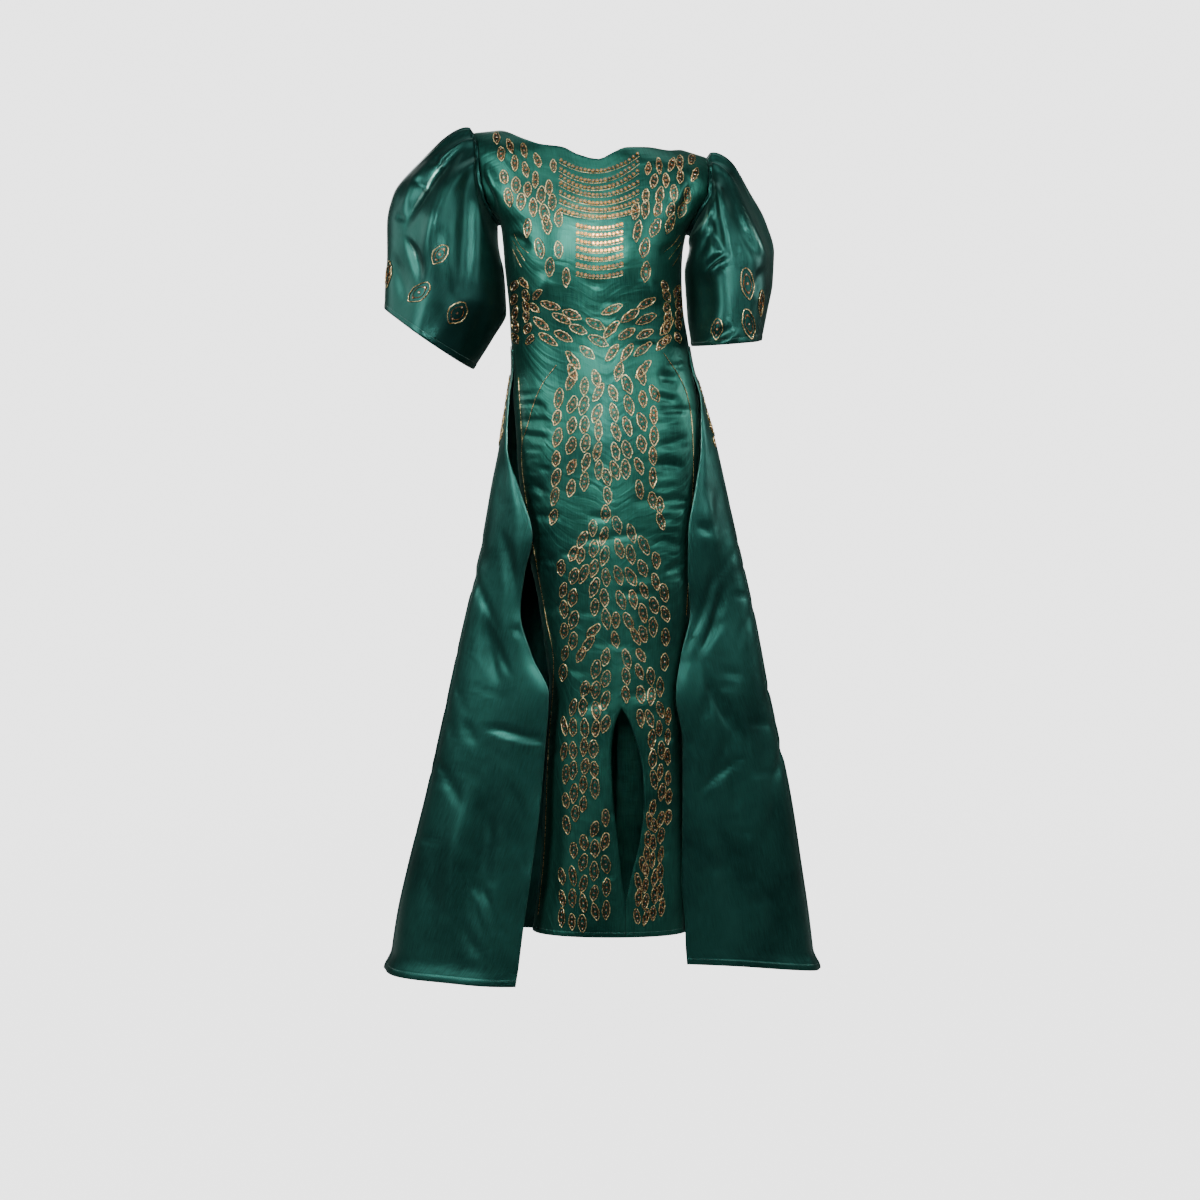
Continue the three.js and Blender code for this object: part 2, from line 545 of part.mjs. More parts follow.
// A point of half the overskirt: at the waist it lies on the dress, and it leaves it to hang free.
function overskirtPoint(side, column, share) {
  const onFace = clamp01(column / FACE_COLUMNS);
  const onBack = clamp01((column - FACE_COLUMNS) / TRAIN_COLUMNS);
  const hem =
    onBack > 0
      ? mix(OVERSKIRT_HEM.side, OVERSKIRT_HEM.back, smoothStep(onBack))
      : mix(OVERSKIRT_HEM[side], OVERSKIRT_HEM.side, smoothStep(onFace));
  const z = mix(WAIST_Z, hem, share);
  const seamX = mix(dress.centre(z), OVERSKIRT_CENTRE, smoothStep(share));
  const hung = hungPoint(side, onFace, onBack, z, seamX, hem);

  const towards = side === "left" ? 1 : -1;
  const facing = onBack > 0 ? 1 : -1;
  const turn = towards * (onBack > 0 ? 1 - onBack : mix(EDGE_TURN, 1, onFace));
  const worn = lowerPoint(turn, z, facing);
  worn.addScaledVector(lowerNormal(turn, z, facing), WAIST_GAP + WALL + STAND_OFF * (WAIST_Z - z));
  const point = worn.lerp(hung, smoothStep((BLEND_FROM_Z - z) / (BLEND_FROM_Z - BLEND_TO_Z)));
  if (onBack === 1) point.x = seamX + (towards * SEAM_GAP) / 2;
  return point;
}
function overskirtSheet(side) {
  const columns = FACE_COLUMNS + TRAIN_COLUMNS;
  const order = side === "left" ? (j) => j : (j) => columns - j;
  const pointAt = (i, j) => overskirtPoint(side, order(j), OVERSKIRT_ROWS[i]);
  const heldAt = (_, j) => (order(j) === columns ? "x" : "");
  return gridSheet(OVERSKIRT_ROWS.length - 1, columns, pointAt, { heldAt });
}

const dressSatin = () => new THREE.MeshStandardMaterial({ color: DRESS_COLOUR, ...SATIN });
const sleeveSatin = () => new THREE.MeshStandardMaterial({ color: SLEEVE_COLOUR, ...SATIN });
const overskirtSatin = () => new THREE.MeshStandardMaterial({ color: OVERSKIRT_COLOUR, ...SATIN });

// The gown
const gown = new THREE.Group();
function sew(name, sheet, material) {
  const piece = new THREE.Mesh(sheet.wall(), material);
  piece.name = name;
  gown.add(piece);
}
sew("front", frontSheet(), dressSatin());
sew("back_left", backSheet("left"), dressSatin());
sew("back_right", backSheet("right"), dressSatin());
sew("sleeve_left", sleeveSheet("left", SLEEVE_LEFT), sleeveSatin());
sew("sleeve_right", sleeveSheet("right", SLEEVE_RIGHT), sleeveSatin());
sew("overskirt_left", overskirtSheet("left"), overskirtSatin());
sew("overskirt_right", overskirtSheet("right"), overskirtSatin());

export default gown;
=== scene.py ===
"""The looks of a beaded satin evening gown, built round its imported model.

Sizes are in mm unless they say metres.
"""

import logging
import math
from dataclasses import dataclass, replace
from enum import Enum
from typing import Any, Callable, Sequence

import bpy
import numpy as np
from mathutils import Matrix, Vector


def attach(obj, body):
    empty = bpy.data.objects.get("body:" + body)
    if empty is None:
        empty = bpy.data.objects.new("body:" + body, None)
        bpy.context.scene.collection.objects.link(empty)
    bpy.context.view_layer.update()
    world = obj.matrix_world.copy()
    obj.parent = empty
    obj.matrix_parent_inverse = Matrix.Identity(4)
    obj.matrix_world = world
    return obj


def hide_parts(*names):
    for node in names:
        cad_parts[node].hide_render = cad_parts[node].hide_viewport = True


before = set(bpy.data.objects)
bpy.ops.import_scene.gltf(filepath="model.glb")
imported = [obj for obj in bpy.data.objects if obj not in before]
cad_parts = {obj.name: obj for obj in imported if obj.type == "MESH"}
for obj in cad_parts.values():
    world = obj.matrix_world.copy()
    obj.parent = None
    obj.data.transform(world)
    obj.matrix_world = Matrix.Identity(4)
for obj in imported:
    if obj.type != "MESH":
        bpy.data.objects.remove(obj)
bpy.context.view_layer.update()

LOG = logging.getLogger("gown")
MM = 0.001
Array = np.ndarray
Pair = tuple[float, float]
Triple = tuple[float, float, float]
Piece = bpy.types.Object


# Curves and small helpers


class Table:
    """A short table of sizes, read as smooth curves with no overshoot between its rows."""

    def __init__(self, columns: str, *rows: tuple[float, ...]) -> None:
        """Keep the rows in order of their first column.

        Args:
            columns: the columns' names, with spaces between them.
            rows: one row of numbers for each section or point.
        """
        data = np.array(sorted(rows), float)
        self.at = data[:, 0]
        self.values = dict(zip(columns.split(), data.T))

    def read(self, column: str, where: Array | float) -> Array:
        """Give a column's value along the first column.

        Args:
            column: the name of the column.
            where: places along the first column.

        Returns:
            The smooth value at each place.
        """
        value = self.values[column]
        slope = np.diff(value) / np.diff(self.at)
        before = np.concatenate([slope[:1], slope])
        after = np.concatenate([slope, slope[-1:]])
        total = np.where(before * after > 0, before + after, 1.0)
        tangent = np.where(before * after > 0, 2 * before * after / total, 0.0)
        x = np.clip(where, self.at[0], self.at[-1])
        i = np.clip(np.searchsorted(self.at, x, side="right") - 1, 0, len(self.at) - 2)
        step = self.at[i + 1] - self.at[i]
        t = (x - self.at[i]) / step
        straight = mix(value[i], value[i + 1], t * t * (3 - 2 * t))
        return straight + (1 - t) * t * step * ((1 - t) * tangent[i] - t * tangent[i + 1])


def sign(side: str) -> int:
    """Return 1 for the wearer's left and -1 for the right."""
    return 1 if side == "left" else -1


def mix(a: Array | float, b: Array | float, t: Array | float) -> Array | float:
    """Return the value a share t of the way from a to b."""
    return a + (b - a) * t


def smooth_step(t: Array | float) -> Array:
    """Return 0 below 0, 1 above 1 and an even rise between."""
    held = np.clip(t, 0.0, 1.0)
    return held * held * (3 - 2 * held)


def signed_power(t: Array, power: Array | float) -> Array:
    """Return a power of the size of t, with t's sign."""
    return np.sign(t) * np.abs(t) ** power


def unit(v: Array) -> Array:
    """Return vectors of length one along the last axis."""
    return v / np.maximum(np.linalg.norm(v, axis=-1, keepdims=True), 1e-9)


def stack(x: Array, y: Array, z: Array) -> Array:
    """Return points from their coordinates, spread to one shape."""
    return np.stack(np.broadcast_arrays(x, y, z), axis=-1).astype(float)


def bell(distance: Array, width: float) -> Array:
    """Return 1 at no distance, falling off evenly over the width."""
    return np.exp(-((distance / width) ** 2))


def placed(name: str, data: bpy.types.ID) -> Piece:
    """Return a new object in the scene."""
    made = bpy.data.objects.new(name, data)
    bpy.context.scene.collection.objects.link(made)
    return made


def wires(name: str, points: Sequence, joins: Sequence[tuple[int, int]] = ()) -> bpy.types.Mesh:
    """Return a mesh of points, in metres, with edges that join some of them."""
    mesh = bpy.data.meshes.new(name)
    mesh.from_pydata(points, joins, [])
    return mesh


# The gown's own form, from the same sizes as its solids


@dataclass(frozen=True)
class GownForm:
    """The dress's sections, edges and armholes, as the part's source has them."""

    shoulder_slope: float = 0.2
    shoulder_tilt: float = 0.104
    shoulder_half: float = 190.5
    shoulder_drop: float = 1.8
    shoulder_roll: float = 46
    armhole_hollow: float = 0.6
    armhole_turn: float = 0.35
    waist_z: float = -330
    hem_z: float = -1324
    hem_rise: float = 13
    hem_rise_over: float = 140
    bust_apart: float = 144
    bust_z: float = -180
    bust_width: float = 50
    bust_height: float = 68
    bust_depth: float = 7
    underarm: tuple[float, float, float, float] = (-146, -132, 158, -148)

    dress = Table(
        "z centre half front back power",
        (60, 0, 190, 58, 52, 2.8), (0, 0, 190, 76, 68, 2.8), (-48, 3, 184, 92, 80, 2.8),
        (-95, 4, 165, 106, 87, 2.8), (-140, 6, 152, 115, 89, 2.8), (-185, 5.5, 147, 119, 87, 2.7),
        (-264, 10, 144, 113, 80, 2.4), (-330, 17, 147.5, 108, 78, 2.2), (-365, 21, 148, 109, 83, 2.2),
        (-420, 27, 154, 112, 96, 2.2), (-500, 33, 155, 117, 113, 2.2), (-586, 35, 150, 116, 112, 2.2),
        (-653, 36, 144, 113, 104, 2.2), (-755, 43, 130, 109, 93, 2.2), (-823, 45, 123, 107, 89, 2.2),
        (-905, 46, 115, 106, 86, 2.2), (-1012, 43, 119, 106, 86, 2.2), (-1100, 43, 123, 105, 87, 2.2),
        (-1221, 41, 127, 104, 90, 2.2), (-1330, 34, 134, 102, 92, 2.2),
    )
    front_neck = Table(
        "x z",
        (-190, 19), (-152, 22), (-105, 4), (-79, -5), (-44, -10), (-19, -22), (14, -30),
        (38, -19), (60, -10), (94, -9), (129, -13), (153, -10), (191, -21),
    )
    back_neck = Table(
        "x z",
        (-190, 19), (-152, 22), (-100, -4), (0, -24), (100, -24), (153, -10), (191, -21),
    )
    armholes = Table(
        "down right left",
        (0, -190, 191), (0.2, -181, 193), (0.45, -178, 192),
        (0.7, -171, 177), (0.9, -157, 164), (1, -146, 158),
    )

    def shoulder_line(self, x: Array) -> Array:
        """Return the height of the shoulder line, carried on over the neck."""
        fall = (self.shoulder_half - np.abs(x)) * self.shoulder_slope
        return fall - x * self.shoulder_tilt - self.shoulder_drop

    def bust_fullness(self, x: Array, z: Array) -> Array:
        """Return how far the two soft cups stand out."""
        sideways = (np.abs(x - self.dress.read("centre", z)) - self.bust_apart / 2) / self.bust_width
        upwards = (z - self.bust_z) / self.bust_height
        return self.bust_depth * np.exp(-sideways**2 - upwards**2)

    def underarm_z(self, x: Array | float) -> Array | float:
        """Return the height of the level line from one underarm to the other."""
        right_x, right_z, left_x, left_z = self.underarm
        return mix(right_z, left_z, (x - right_x) / (left_x - right_x))

    def depth(self, z: Array, facing: int) -> Array:
        """Return the dress's depth in front (facing -1) or behind (1)."""
        return self.dress.read("front" if facing < 0 else "back", z)

    def upper(self, turn: Array, down: Array, facing: int) -> Array:
        """Give points of the dress above the arms.

        Args:
            turn: -1 at the right armhole to 1 at the left.
            down: 0 at the top edge to 1 under the arms.
            facing: -1 for the front and 1 for the back.

        Returns:
            The points, in mm.
        """
        right, left = self.armholes.read("right", down), self.armholes.read("left", down)
        power = 2 / self.dress.read("power", self.underarm[1])
        turned = np.clip((down - self.armhole_turn) / (1 - self.armhole_turn), 0, 1)
        share = self.armhole_hollow * np.sqrt(1 - turned**2)
        edge = np.arccos(share ** (1 / power))
        half = (left - right) / 2 / np.sin(edge) ** power
        angle = turn * edge
        x = (left + right) / 2 + half * signed_power(np.sin(angle), power)
        neck = self.front_neck if facing < 0 else self.back_neck
        top = np.minimum(neck.read("z", x), self.shoulder_line(x))
        z = mix(top, self.underarm_z(x), down)
        rolled = np.clip((self.shoulder_line(x) - z) / self.shoulder_roll, 0, 1)
        roll = np.sqrt(1 - (1 - rolled) ** 2)
        forward = np.clip(np.cos(angle), 0, 1)
        full = self.bust_fullness(x, z) * forward if facing < 0 else 0.0
        return stack(x, facing * (self.depth(z, facing) * forward**power * roll + full), z)

    def lower(self, turn: Array, row: Array, facing: int) -> Array:
        """Give points of the dress below the arms.

        Args:
            turn: -1 at the right side seam to 1 at the left.
            row: the height of the row at the middle.
            facing: -1 for the front and 1 for the back.

        Returns:
            The points, in mm.
        """
        angle = turn * math.pi / 2
        power = 2 / self.dress.read("power", row)
        reach = signed_power(np.sin(angle), power)
        forward = np.clip(np.cos(angle), 0, 1)
        across = self.dress.read("centre", row) + self.dress.read("half", row) * reach
        middle = self.underarm_z(0)
        share = np.clip((row - self.waist_z) / (middle - self.waist_z), 0, 1)
        z = row + (self.underarm_z(across) - middle) * share
        if facing < 0:
            near = (self.hem_z + self.hem_rise_over - row) / self.hem_rise_over
            z = z + self.hem_rise * forward * smooth_step(near)
        x = self.dress.read("centre", z) + self.dress.read("half", z) * reach
        full = self.bust_fullness(x, z) * forward if facing < 0 else 0.0
        return stack(x, facing * (self.depth(z, facing) * forward**power + full), z)

    def lower_normal(self, turn: Array, z: Array, facing: int) -> Array:
        """Return the level direction out of the dress below the arms."""
        angle = turn * math.pi / 2
        power = 2 - 2 / self.dress.read("power", z)
        across = signed_power(np.sin(angle), power) / self.dress.read("half", z)
        ahead = facing * np.clip(np.cos(angle), 0, 1) ** power / self.depth(z, facing)
        return unit(stack(across, ahead, 0 * z))

    def turn_at(self, x: Array, z: Array) -> Array:
        """Return the turn at which the dress is this far across."""
        offset = (x - self.dress.read("centre", z)) / self.dress.read("half", z)
        reach = np.minimum(1, np.abs(offset)) ** (self.dress.read("power", z) / 2)
        return np.sign(offset) * np.arcsin(reach) / (math.pi / 2)


FORM = GownForm()


# Folds and creases


@dataclass(frozen=True)
class Crease:
    """One soft trough or ridge, along a bowed line in a panel's front or back view."""

    start: Pair
    end: Pair
    depth: float
    width: float
    bow: float = 0.0
    sharp: float = 2.0
    deepest: float = 0.5

    fade_in = 1.25
    end_width = 0.55
    swelling = 0.45
    rebound = 0.35

    def at(self, x: Array, z: Array) -> Array:
        """Give how far the crease moves each point outwards.

        Args:
            x: places across, in the view.
            z: heights.

        Returns:
            The move along the cloth's own direction, below 0 in a trough.
        """
        begin, finish = np.array(self.start, float), np.array(self.end, float)
        along = finish - begin
        length = float(np.hypot(*along))
        ahead = along / length
        dx, dz = x - begin[0], z - begin[1]
        t = (dx * ahead[0] + dz * ahead[1]) / length
        held = np.clip(t, 0, 1)
        side = dz * ahead[0] - dx * ahead[1] - self.bow * 4 * held * (1 - held)
        peak = np.where(held < self.deepest, held / self.deepest, (1 - held) / (1 - self.deepest))
        fade = smooth_step(peak * self.fade_in)
        beyond = np.abs(t - held) * length
        reach = np.hypot(side, beyond) / (self.width * (self.end_width + self.swelling * fade))
        shoulder = 1 - self.rebound * np.minimum(reach, 2) ** 2
        return self.depth * fade * np.exp(-(reach**self.sharp)) * shoulder


def creases(*rows: tuple[float, ...]) -> tuple[Crease, ...]:
    """Return creases from rows of the start's and the end's x and z, then the other sizes in order."""
    return tuple(Crease(row[:2], row[2:4], *map(float, row[4:])) for row in rows)


@dataclass(frozen=True)
class CreaseField:
    """Many small creases of one kind in one area, uneven in length, depth and spacing."""

    x: Pair
    z: Pair
    count: int
    lean: Pair
    length: Pair
    depth: Pair
    width: Pair
    seed: int

    spacing = (0.1, 0.9)
    most_bowed = 0.08
    deepest = (0.3, 0.7)

    def creases(self) -> list[Crease]:
        """Return the creases, the same ones at every run."""
        draw = np.random.default_rng(self.seed)
        made = []
        for step in range(self.count):
            z = mix(*self.z, (step + draw.uniform(*self.spacing)) / self.count)
            middle = np.array([draw.uniform(*self.x), z])
            angle = math.radians(draw.uniform(*self.lean))
            half = 0.5 * draw.uniform(*self.length) * np.array([math.cos(angle), math.sin(angle)])
            depth, width = draw.uniform(*self.depth), draw.uniform(*self.width)
            bow = draw.uniform(-self.most_bowed, self.most_bowed) * float(np.hypot(*half)) * 2
            ends = tuple(middle - half), tuple(middle + half)
            made.append(Crease(*ends, depth, width, bow, deepest=draw.uniform(*self.deepest)))
        return made


def crumpled(x: Array, z: Array, listed_creases: Sequence[Crease], *fields: CreaseField) -> Array:
    """Return the sum of all the creases at each place."""
    total = np.zeros(np.broadcast(x, z).shape)
    for crease in (*listed_creases, *(each for field in fields for each in field.creases())):
        total += crease.at(x, z)
    return total


# Cloth


@dataclass
class Cloth:
    """A grid of outer points, with what its wall and its pattern need."""

    points: Array
    closed: bool = False
    parted_at: int = 0
    parted_from: int = 0

    def normals(self) -> Array:
        """Return each point's direction out of the cloth, from its neighbours in the grid."""
        p = self.points
        if self.closed:
            across = np.roll(p, -1, axis=1) - np.roll(p, 1, axis=1)
        else:
            across = np.gradient(p, axis=1)
            if self.parted_at:
                j = self.parted_at
                below = slice(self.parted_from, None)
                across[below, j] = p[below, j] - p[below, j - 1]
                across[below, j + 1] = p[below, j + 2] - p[below, j + 1]
                above = slice(0, self.parted_from)
                across[above, j] = across[above, j + 1] = p[above, j + 2] - p[above, j - 1]
        down = np.gradient(p, axis=0)
        return unit(np.cross(down, across))

    def moved(self, by: Array) -> "Cloth":
        """Return the cloth with each point moved out by so much."""
        return replace(self, points=self.points + self.normals() * by[..., None])

    def lengths(self) -> tuple[Array, Array]:
        """Return how far each point is across and down the cloth, in metres."""
        p = self.points * MM
        if self.closed:
            p = np.concatenate([p, p[:, :1]], axis=1)
        across = np.cumsum(np.linalg.norm(np.diff(p, axis=1, prepend=p[:, :1]), axis=2), axis=1)
        down = np.cumsum(np.linalg.norm(np.diff(p, axis=0, prepend=p[:1]), axis=2), axis=0)
        return across - across.mean(axis=1, keepdims=True), down

    def mesh(self, name: str, thickness: float, painted_highlight: Array | None = None) -> Piece:
        """Make the closed wall under the points.

        Args:
            name: the piece's name.
            thickness: the wall's thickness, in mm.
            painted_highlight: how much painted highlight lies on the cloth at each point, along sharp crease
                edges, from 0 to 1.

        Returns:
            The new object, with a cloth UV map in metres and the painted highlight as an attribute.
        """
        rows, columns = self.points.shape[:2]
        index = np.arange(rows * columns).reshape(rows, columns)
        if self.parted_at:
            index[: self.parted_from, self.parted_at + 1] = index[: self.parted_from, self.parted_at]
        ring = columns if self.closed else columns - 1
        i, j = np.meshgrid(np.arange(rows - 1), np.arange(ring), indexing="ij")
        keep = np.ones(i.shape, bool)
        if self.parted_at:
            keep[:, self.parted_at] = False
        i, j = i[keep], j[keep]
        k = (j + 1) % columns
        above, below = i * columns, (i + 1) * columns
        grid = np.stack([above + j, below + j, below + k, above + k], axis=1)
        quads = index.reshape(-1)[grid]
        corner_rows = np.stack([i, i + 1, i + 1, i], axis=1)
        corner_columns = np.stack([j, j, j + 1, j + 1], axis=1)

        outer = self.points.reshape(-1, 3)
        inner = (self.points - self.normals() * thickness).reshape(-1, 3)
        count = len(outer)
        edges: dict[tuple[int, int], tuple[int, int]] = {}
        for quad_row, quad in enumerate(quads):
            for side in range(4):
                pair = (int(quad[side]), int(quad[(side + 1) % 4]))
                if edges.pop((pair[1], pair[0]), None) is None:
                    edges[pair] = (quad_row, side)
        rim = np.array([(b, a, a + count, b + count) for a, b in edges])
        owner = np.array(list(edges.values()))
        faces = np.concatenate([quads, quads[:, ::-1] + count, rim])

        across, down = self.lengths()
        u, v = across[corner_rows, corner_columns], -down[corner_rows, corner_columns % columns]
        front_uv = np.stack([u, v], axis=2)
        a = front_uv[owner[:, 0], owner[:, 1]]
        b = front_uv[owner[:, 0], (owner[:, 1] + 1) % 4]
        uv = np.concatenate([front_uv, front_uv[:, ::-1], np.stack([b, a, a, b], axis=1)])

        used, compact = np.unique(faces, return_inverse=True)
        mesh = bpy.data.meshes.new(name)
        vertices = np.concatenate([outer, inner])[used] * MM
        mesh.from_pydata(vertices.tolist(), [], compact.reshape(faces.shape).tolist())
        layer = mesh.uv_layers.new(name="cloth")
        layer.data.foreach_set("uv", uv.reshape(-1).astype(np.float32))
        # Share of painted highlight along crease edges at each point, none unless given.
        worn = np.zeros((rows, columns)) if painted_highlight is None else painted_highlight
        attribute = mesh.attributes.new("painted_highlight", "FLOAT", "POINT")
        attribute.data.foreach_set("value", np.tile(worn.reshape(-1), 2)[used].astype(np.float32))
        mesh.polygons.foreach_set("use_smooth", np.ones(len(faces), bool))
        mesh.validate()
        mesh.update()
        return placed(name, mesh)


@dataclass(frozen=True)
class Hem:
    """A narrow hem, turned in once, with its stitch line sunk into the cloth."""

    depth: float
    swell: float = 0.55
    stitch_sink: float = 0.45
    stitch_in: float = 1.2
    groove: float = 0.9
    rise: float = 1.5
    rounding: float = 0.6

    def at(self, distance: Array) -> Array:
        """Return how far the hem stands out at this distance from the edge."""
        band = self.swell * smooth_step((self.depth - distance) / self.rise)
        round_over = -self.rounding * bell(distance, self.groove)
        stitched = -self.stitch_sink * bell(distance - self.depth + self.stitch_in, self.groove)
        return band + round_over + stitched

    def rows(self) -> Array:
        """Return the distances at which the edge needs rows of points."""
        near = [0, 0.5, 1.2, 2.2, self.depth * 0.4, self.depth * 0.65]
        stitch = [self.depth - 2 * self.stitch_in, self.depth - self.stitch_in, self.depth, self.depth + 1.6]
        return np.array(near + stitch)


def relaxed(points: Array, rows: slice, times: int) -> Array:
    """Smooth the rows' joins along the columns, and keep every other row."""
    for _ in range(times):
        middle = points[rows]
        above = points[rows.start - 1 : rows.stop - 1]
        below = points[rows.start + 1 : rows.stop + 1]
        points[rows] = 0.5 * middle + 0.25 * (above + below)
    return points


@dataclass(frozen=True)
class Panel:
    """What every cloth piece shares."""

    thickness: float = 1.1
    turned: float = 10

    def finished(
        self, cloth: Cloth, name: str, folds: Array, shine: Array, hem: Array, seam: int | None = None
    ) -> tuple[Piece, Array]:
        """Crease a cloth, hem it and make its mesh.

        Args:
            cloth: the cloth as it hangs.
            name: the piece's name.
            folds: how far each point is moved out by its creases.
            shine: how bright the creases' edges are.
            hem: how far each point is moved out by its hems.
            seam: a column that stays in its own upright plane, where a seam joins it to its twin.

        Returns:
            The new object, and the points of its hem's stitch line.
        """
        hung = cloth.moved(folds).moved(hem)
        if seam is not None:
            hung.points[:, seam, 0] = cloth.points[:, seam, 0]
        down = hung.lengths()[1].mean(axis=1) / MM
        row = int(np.argmin(np.abs(down[-1] - down - self.turned + Hem.stitch_in)))
        return hung.mesh(name, self.thickness, np.clip(shine, 0, 1)), hung.points[row]

    def hem_move(self, cloth: Cloth) -> Array:
        """Return how far the hem along the last row stands out."""
        down = cloth.lengths()[1][:, : cloth.points.shape[1]] / MM
        return Hem(self.turned).at(down[-1] - down)


def hem_steps(plain: Array, edge: float, depth: float) -> Array:
    """Return falling heights of rows, with the hem's own rows at the lower end."""
    near = edge + Hem(depth).rows()
    return np.concatenate([plain[plain > near.max() + 1], np.sort(near)[::-1]])


@dataclass(frozen=True)
class Dress(Panel):
    """The column dress: its front and the two halves of its back."""

    columns: int = 96
    step: float = 4.6
    join_z: float = -165
    slit_share: float = 13 / 24
    slit_top: float = -921
    slit_blend: float = 141
    seam_gap: float = 0.3
    back_gap: float = 0.06
    seam_sink: float = 0.6
    seam_width: float = 3
    back_seam_width: float = 2
    yoke: float = 130
    yoke_rows: int = 30
    join_rows: int = 7
    relaxed_above: int = 3
    relaxed_below: int = 9
    relaxed_times: int = 4
    neck_turned: float = 7
    front_girth: float = 200
    back_girth: float = 220
    smooth_side: float = 25
    smooth_middle: float = 14
    covered_below: float = 30

    slit = Table(
        "z right left",
        (-921, 52, 52.2), (-940, 44, 64), (-965, 38, 73), (-1000, 35, 83), (-1040, 36, 89),
        (-1084, 39, 90), (-1145, 46, 84), (-1204, 52, 70), (-1274, 59.3, 59.3), (-1330, 59.3, 59.3),
    )
    front_creases = creases(
        (-176, -45, -146, -118, -8, 9, -5, 2.2), (-168, -30, -140, -92, 4.8, 10, -4),
        (163, -62, 142, -128, -8, 9, 4), (152, -52, 128, -118, 4.8, 11, 5),
        (-138, -150, -92, -176, -5.6, 9, 4), (152, -165, 112, -186, -5.6, 9, -3),
        (-60, -205, -104, -262, 4.8, 16, 6), (86, -205, 120, -262, 4.8, 16, -6),
        (-112, -448, -60, -451, -4.2, 5, 2), (-110, -474, -62, -478, -4.6, 5.5, -2),
        (-108, -424, -66, -430, -3, 5, 3), (-104, -548, -74, -572, -3.3, 7, 3),
        (-100, -604, -40, -600, -3, 8, -4), (108, -372, 150, -392, -5, 12, 3),
        (104, -404, 150, -420, -4.5, 8, -3), (106, -436, 166, -434, -4.2, 6, 3),
        (104, -486, 168, -474, -4.3, 8, -4), (102, -520, 160, -530, -5.5, 11, 4),
        (96, -590, 160, -578, -3.6, 8, 4), (92, -640, 164, -652, -3.2, 9, -5),
        (-96, -690, -50, -672, -3.3, 9, 4), (-84, -770, -44, -742, -4.2, 10, -3),
        (120, -700, 160, -690, -4.8, 8, 2), (-20, -930, 36, -908, -4.2, 14, 5),
        (60, -905, 120, -880, -3.8, 12, -4), (-60, -1000, -72, -1290, -5.6, 18, 5, 2, 0.7),
        (118, -1010, 128, -1290, -5.6, 16, -4, 2, 0.7), (12, -960, 18, -1300, 4.8, 20, -3, 2, 0.7),
    )
    front_shines = creases(
        (-124, -350, -106, -500, 0.5, 8, 4), (-128, -140, -120, -226, 0.5, 6, 2),
        (160, -430, 168, -560, 0.3, 5, 3),
    )
    front_fields = (
        CreaseField((-104, -76), (-405, -700), 24, (-14, 12), (30, 76), (-2.7, -1.0), (2.4, 5.2), 3),
        CreaseField((110, 150), (-350, -720), 28, (-12, 16), (30, 84), (-2.8, -1.0), (2.4, 5.6), 5),
        CreaseField((-60, 100), (-560, -900), 13, (-10, 10), (34, 90), (-2.6, -1.0), (5, 10), 7),
        CreaseField((-70, 92), (-225, -345), 7, (-8, 8), (30, 70), (-2.2, -1.0), (5, 9), 11),
        CreaseField((-92, 130), (-900, -1280), 9, (-24, 24), (30, 70), (-2.6, -1.0), (6, 12), 13),
    )
    back_creases = creases(
        (-150, -60, -100, -150, -5, 12, 8), (152, -75, 104, -158, -5, 12, -8),
        (-120, -290, -20, -312, -4, 9, 5), (128, -284, 34, -306, -4.5, 10, -4),
        (-110, -262, -50, -270, -3, 7, 3), (110, -256, 60, -268, -3, 8, -3),
        (-60, -170, -84, -250, 3, 16, 4), (72, -176, 92, -250, 3, 16, -4),
    )
    back_field = CreaseField((-110, 125), (-90, -325), 14, (-14, 14), (30, 80), (-1.8, -0.6), (5, 9), 17)

    def down_steps(self) -> Array:
        """Return the shares at which the rows above the arms lie."""
        edge = np.array([0, 0.6, 1.6, 3.2, 6, 9.5])
        return np.concatenate([edge, np.linspace(13.5, self.yoke, self.yoke_rows)]) / self.yoke

    def row_steps(self) -> Array:
        """Return the heights of the rows below the arms."""
        plain = np.arange(self.join_z, FORM.hem_z, -self.step)
        return hem_steps(plain, FORM.hem_z, self.turned)

    def grid(self, upper_turn: Array, lower_turn: Callable[[Array], Array], facing: int) -> Array:
        """Give a panel's points from the top edge to the hem.

        Args:
            upper_turn: the turn of each column above the arms.
            lower_turn: gives the turns of the columns at each height below them.
            facing: -1 for the front and 1 for the back.

        Returns:
            Rows and columns of points, in mm.
        """
        down, row = self.down_steps(), self.row_steps()
        above = FORM.upper(upper_turn[None, :], down[:, None], facing)
        below = FORM.lower(lower_turn(row[:, None]), row[:, None] + 0 * upper_turn[None, :], facing)
        share = np.linspace(0, 1, self.join_rows)[1:-1, None, None]
        joined = mix(above[-1:], below[:1], share)
        points = np.concatenate([above, joined, below])
        join = slice(len(down) - self.relaxed_above, len(down) + self.relaxed_below)
        return relaxed(points, join, self.relaxed_times)

    def neck_move(self, rows: int) -> Array:
        """Return how the turned neck edge rounds over."""
        distance = np.full(rows, float(self.yoke))
        steps = self.down_steps()
        distance[: len(steps)] = steps * self.yoke
        return Hem(self.neck_turned, 0.4, 0.0).at(distance)[:, None]

    def front(self) -> tuple[Piece, Array]:
        """Return the front and its hem's stitch line."""
        split = round(self.columns * self.slit_share)
        steps = np.concatenate([np.arange(split + 1), np.arange(split, self.columns + 1)])
        plain = -1 + 2 * steps / self.columns
        at_slit = -1 + 2 * split / self.columns
        is_right = np.arange(len(steps)) <= split

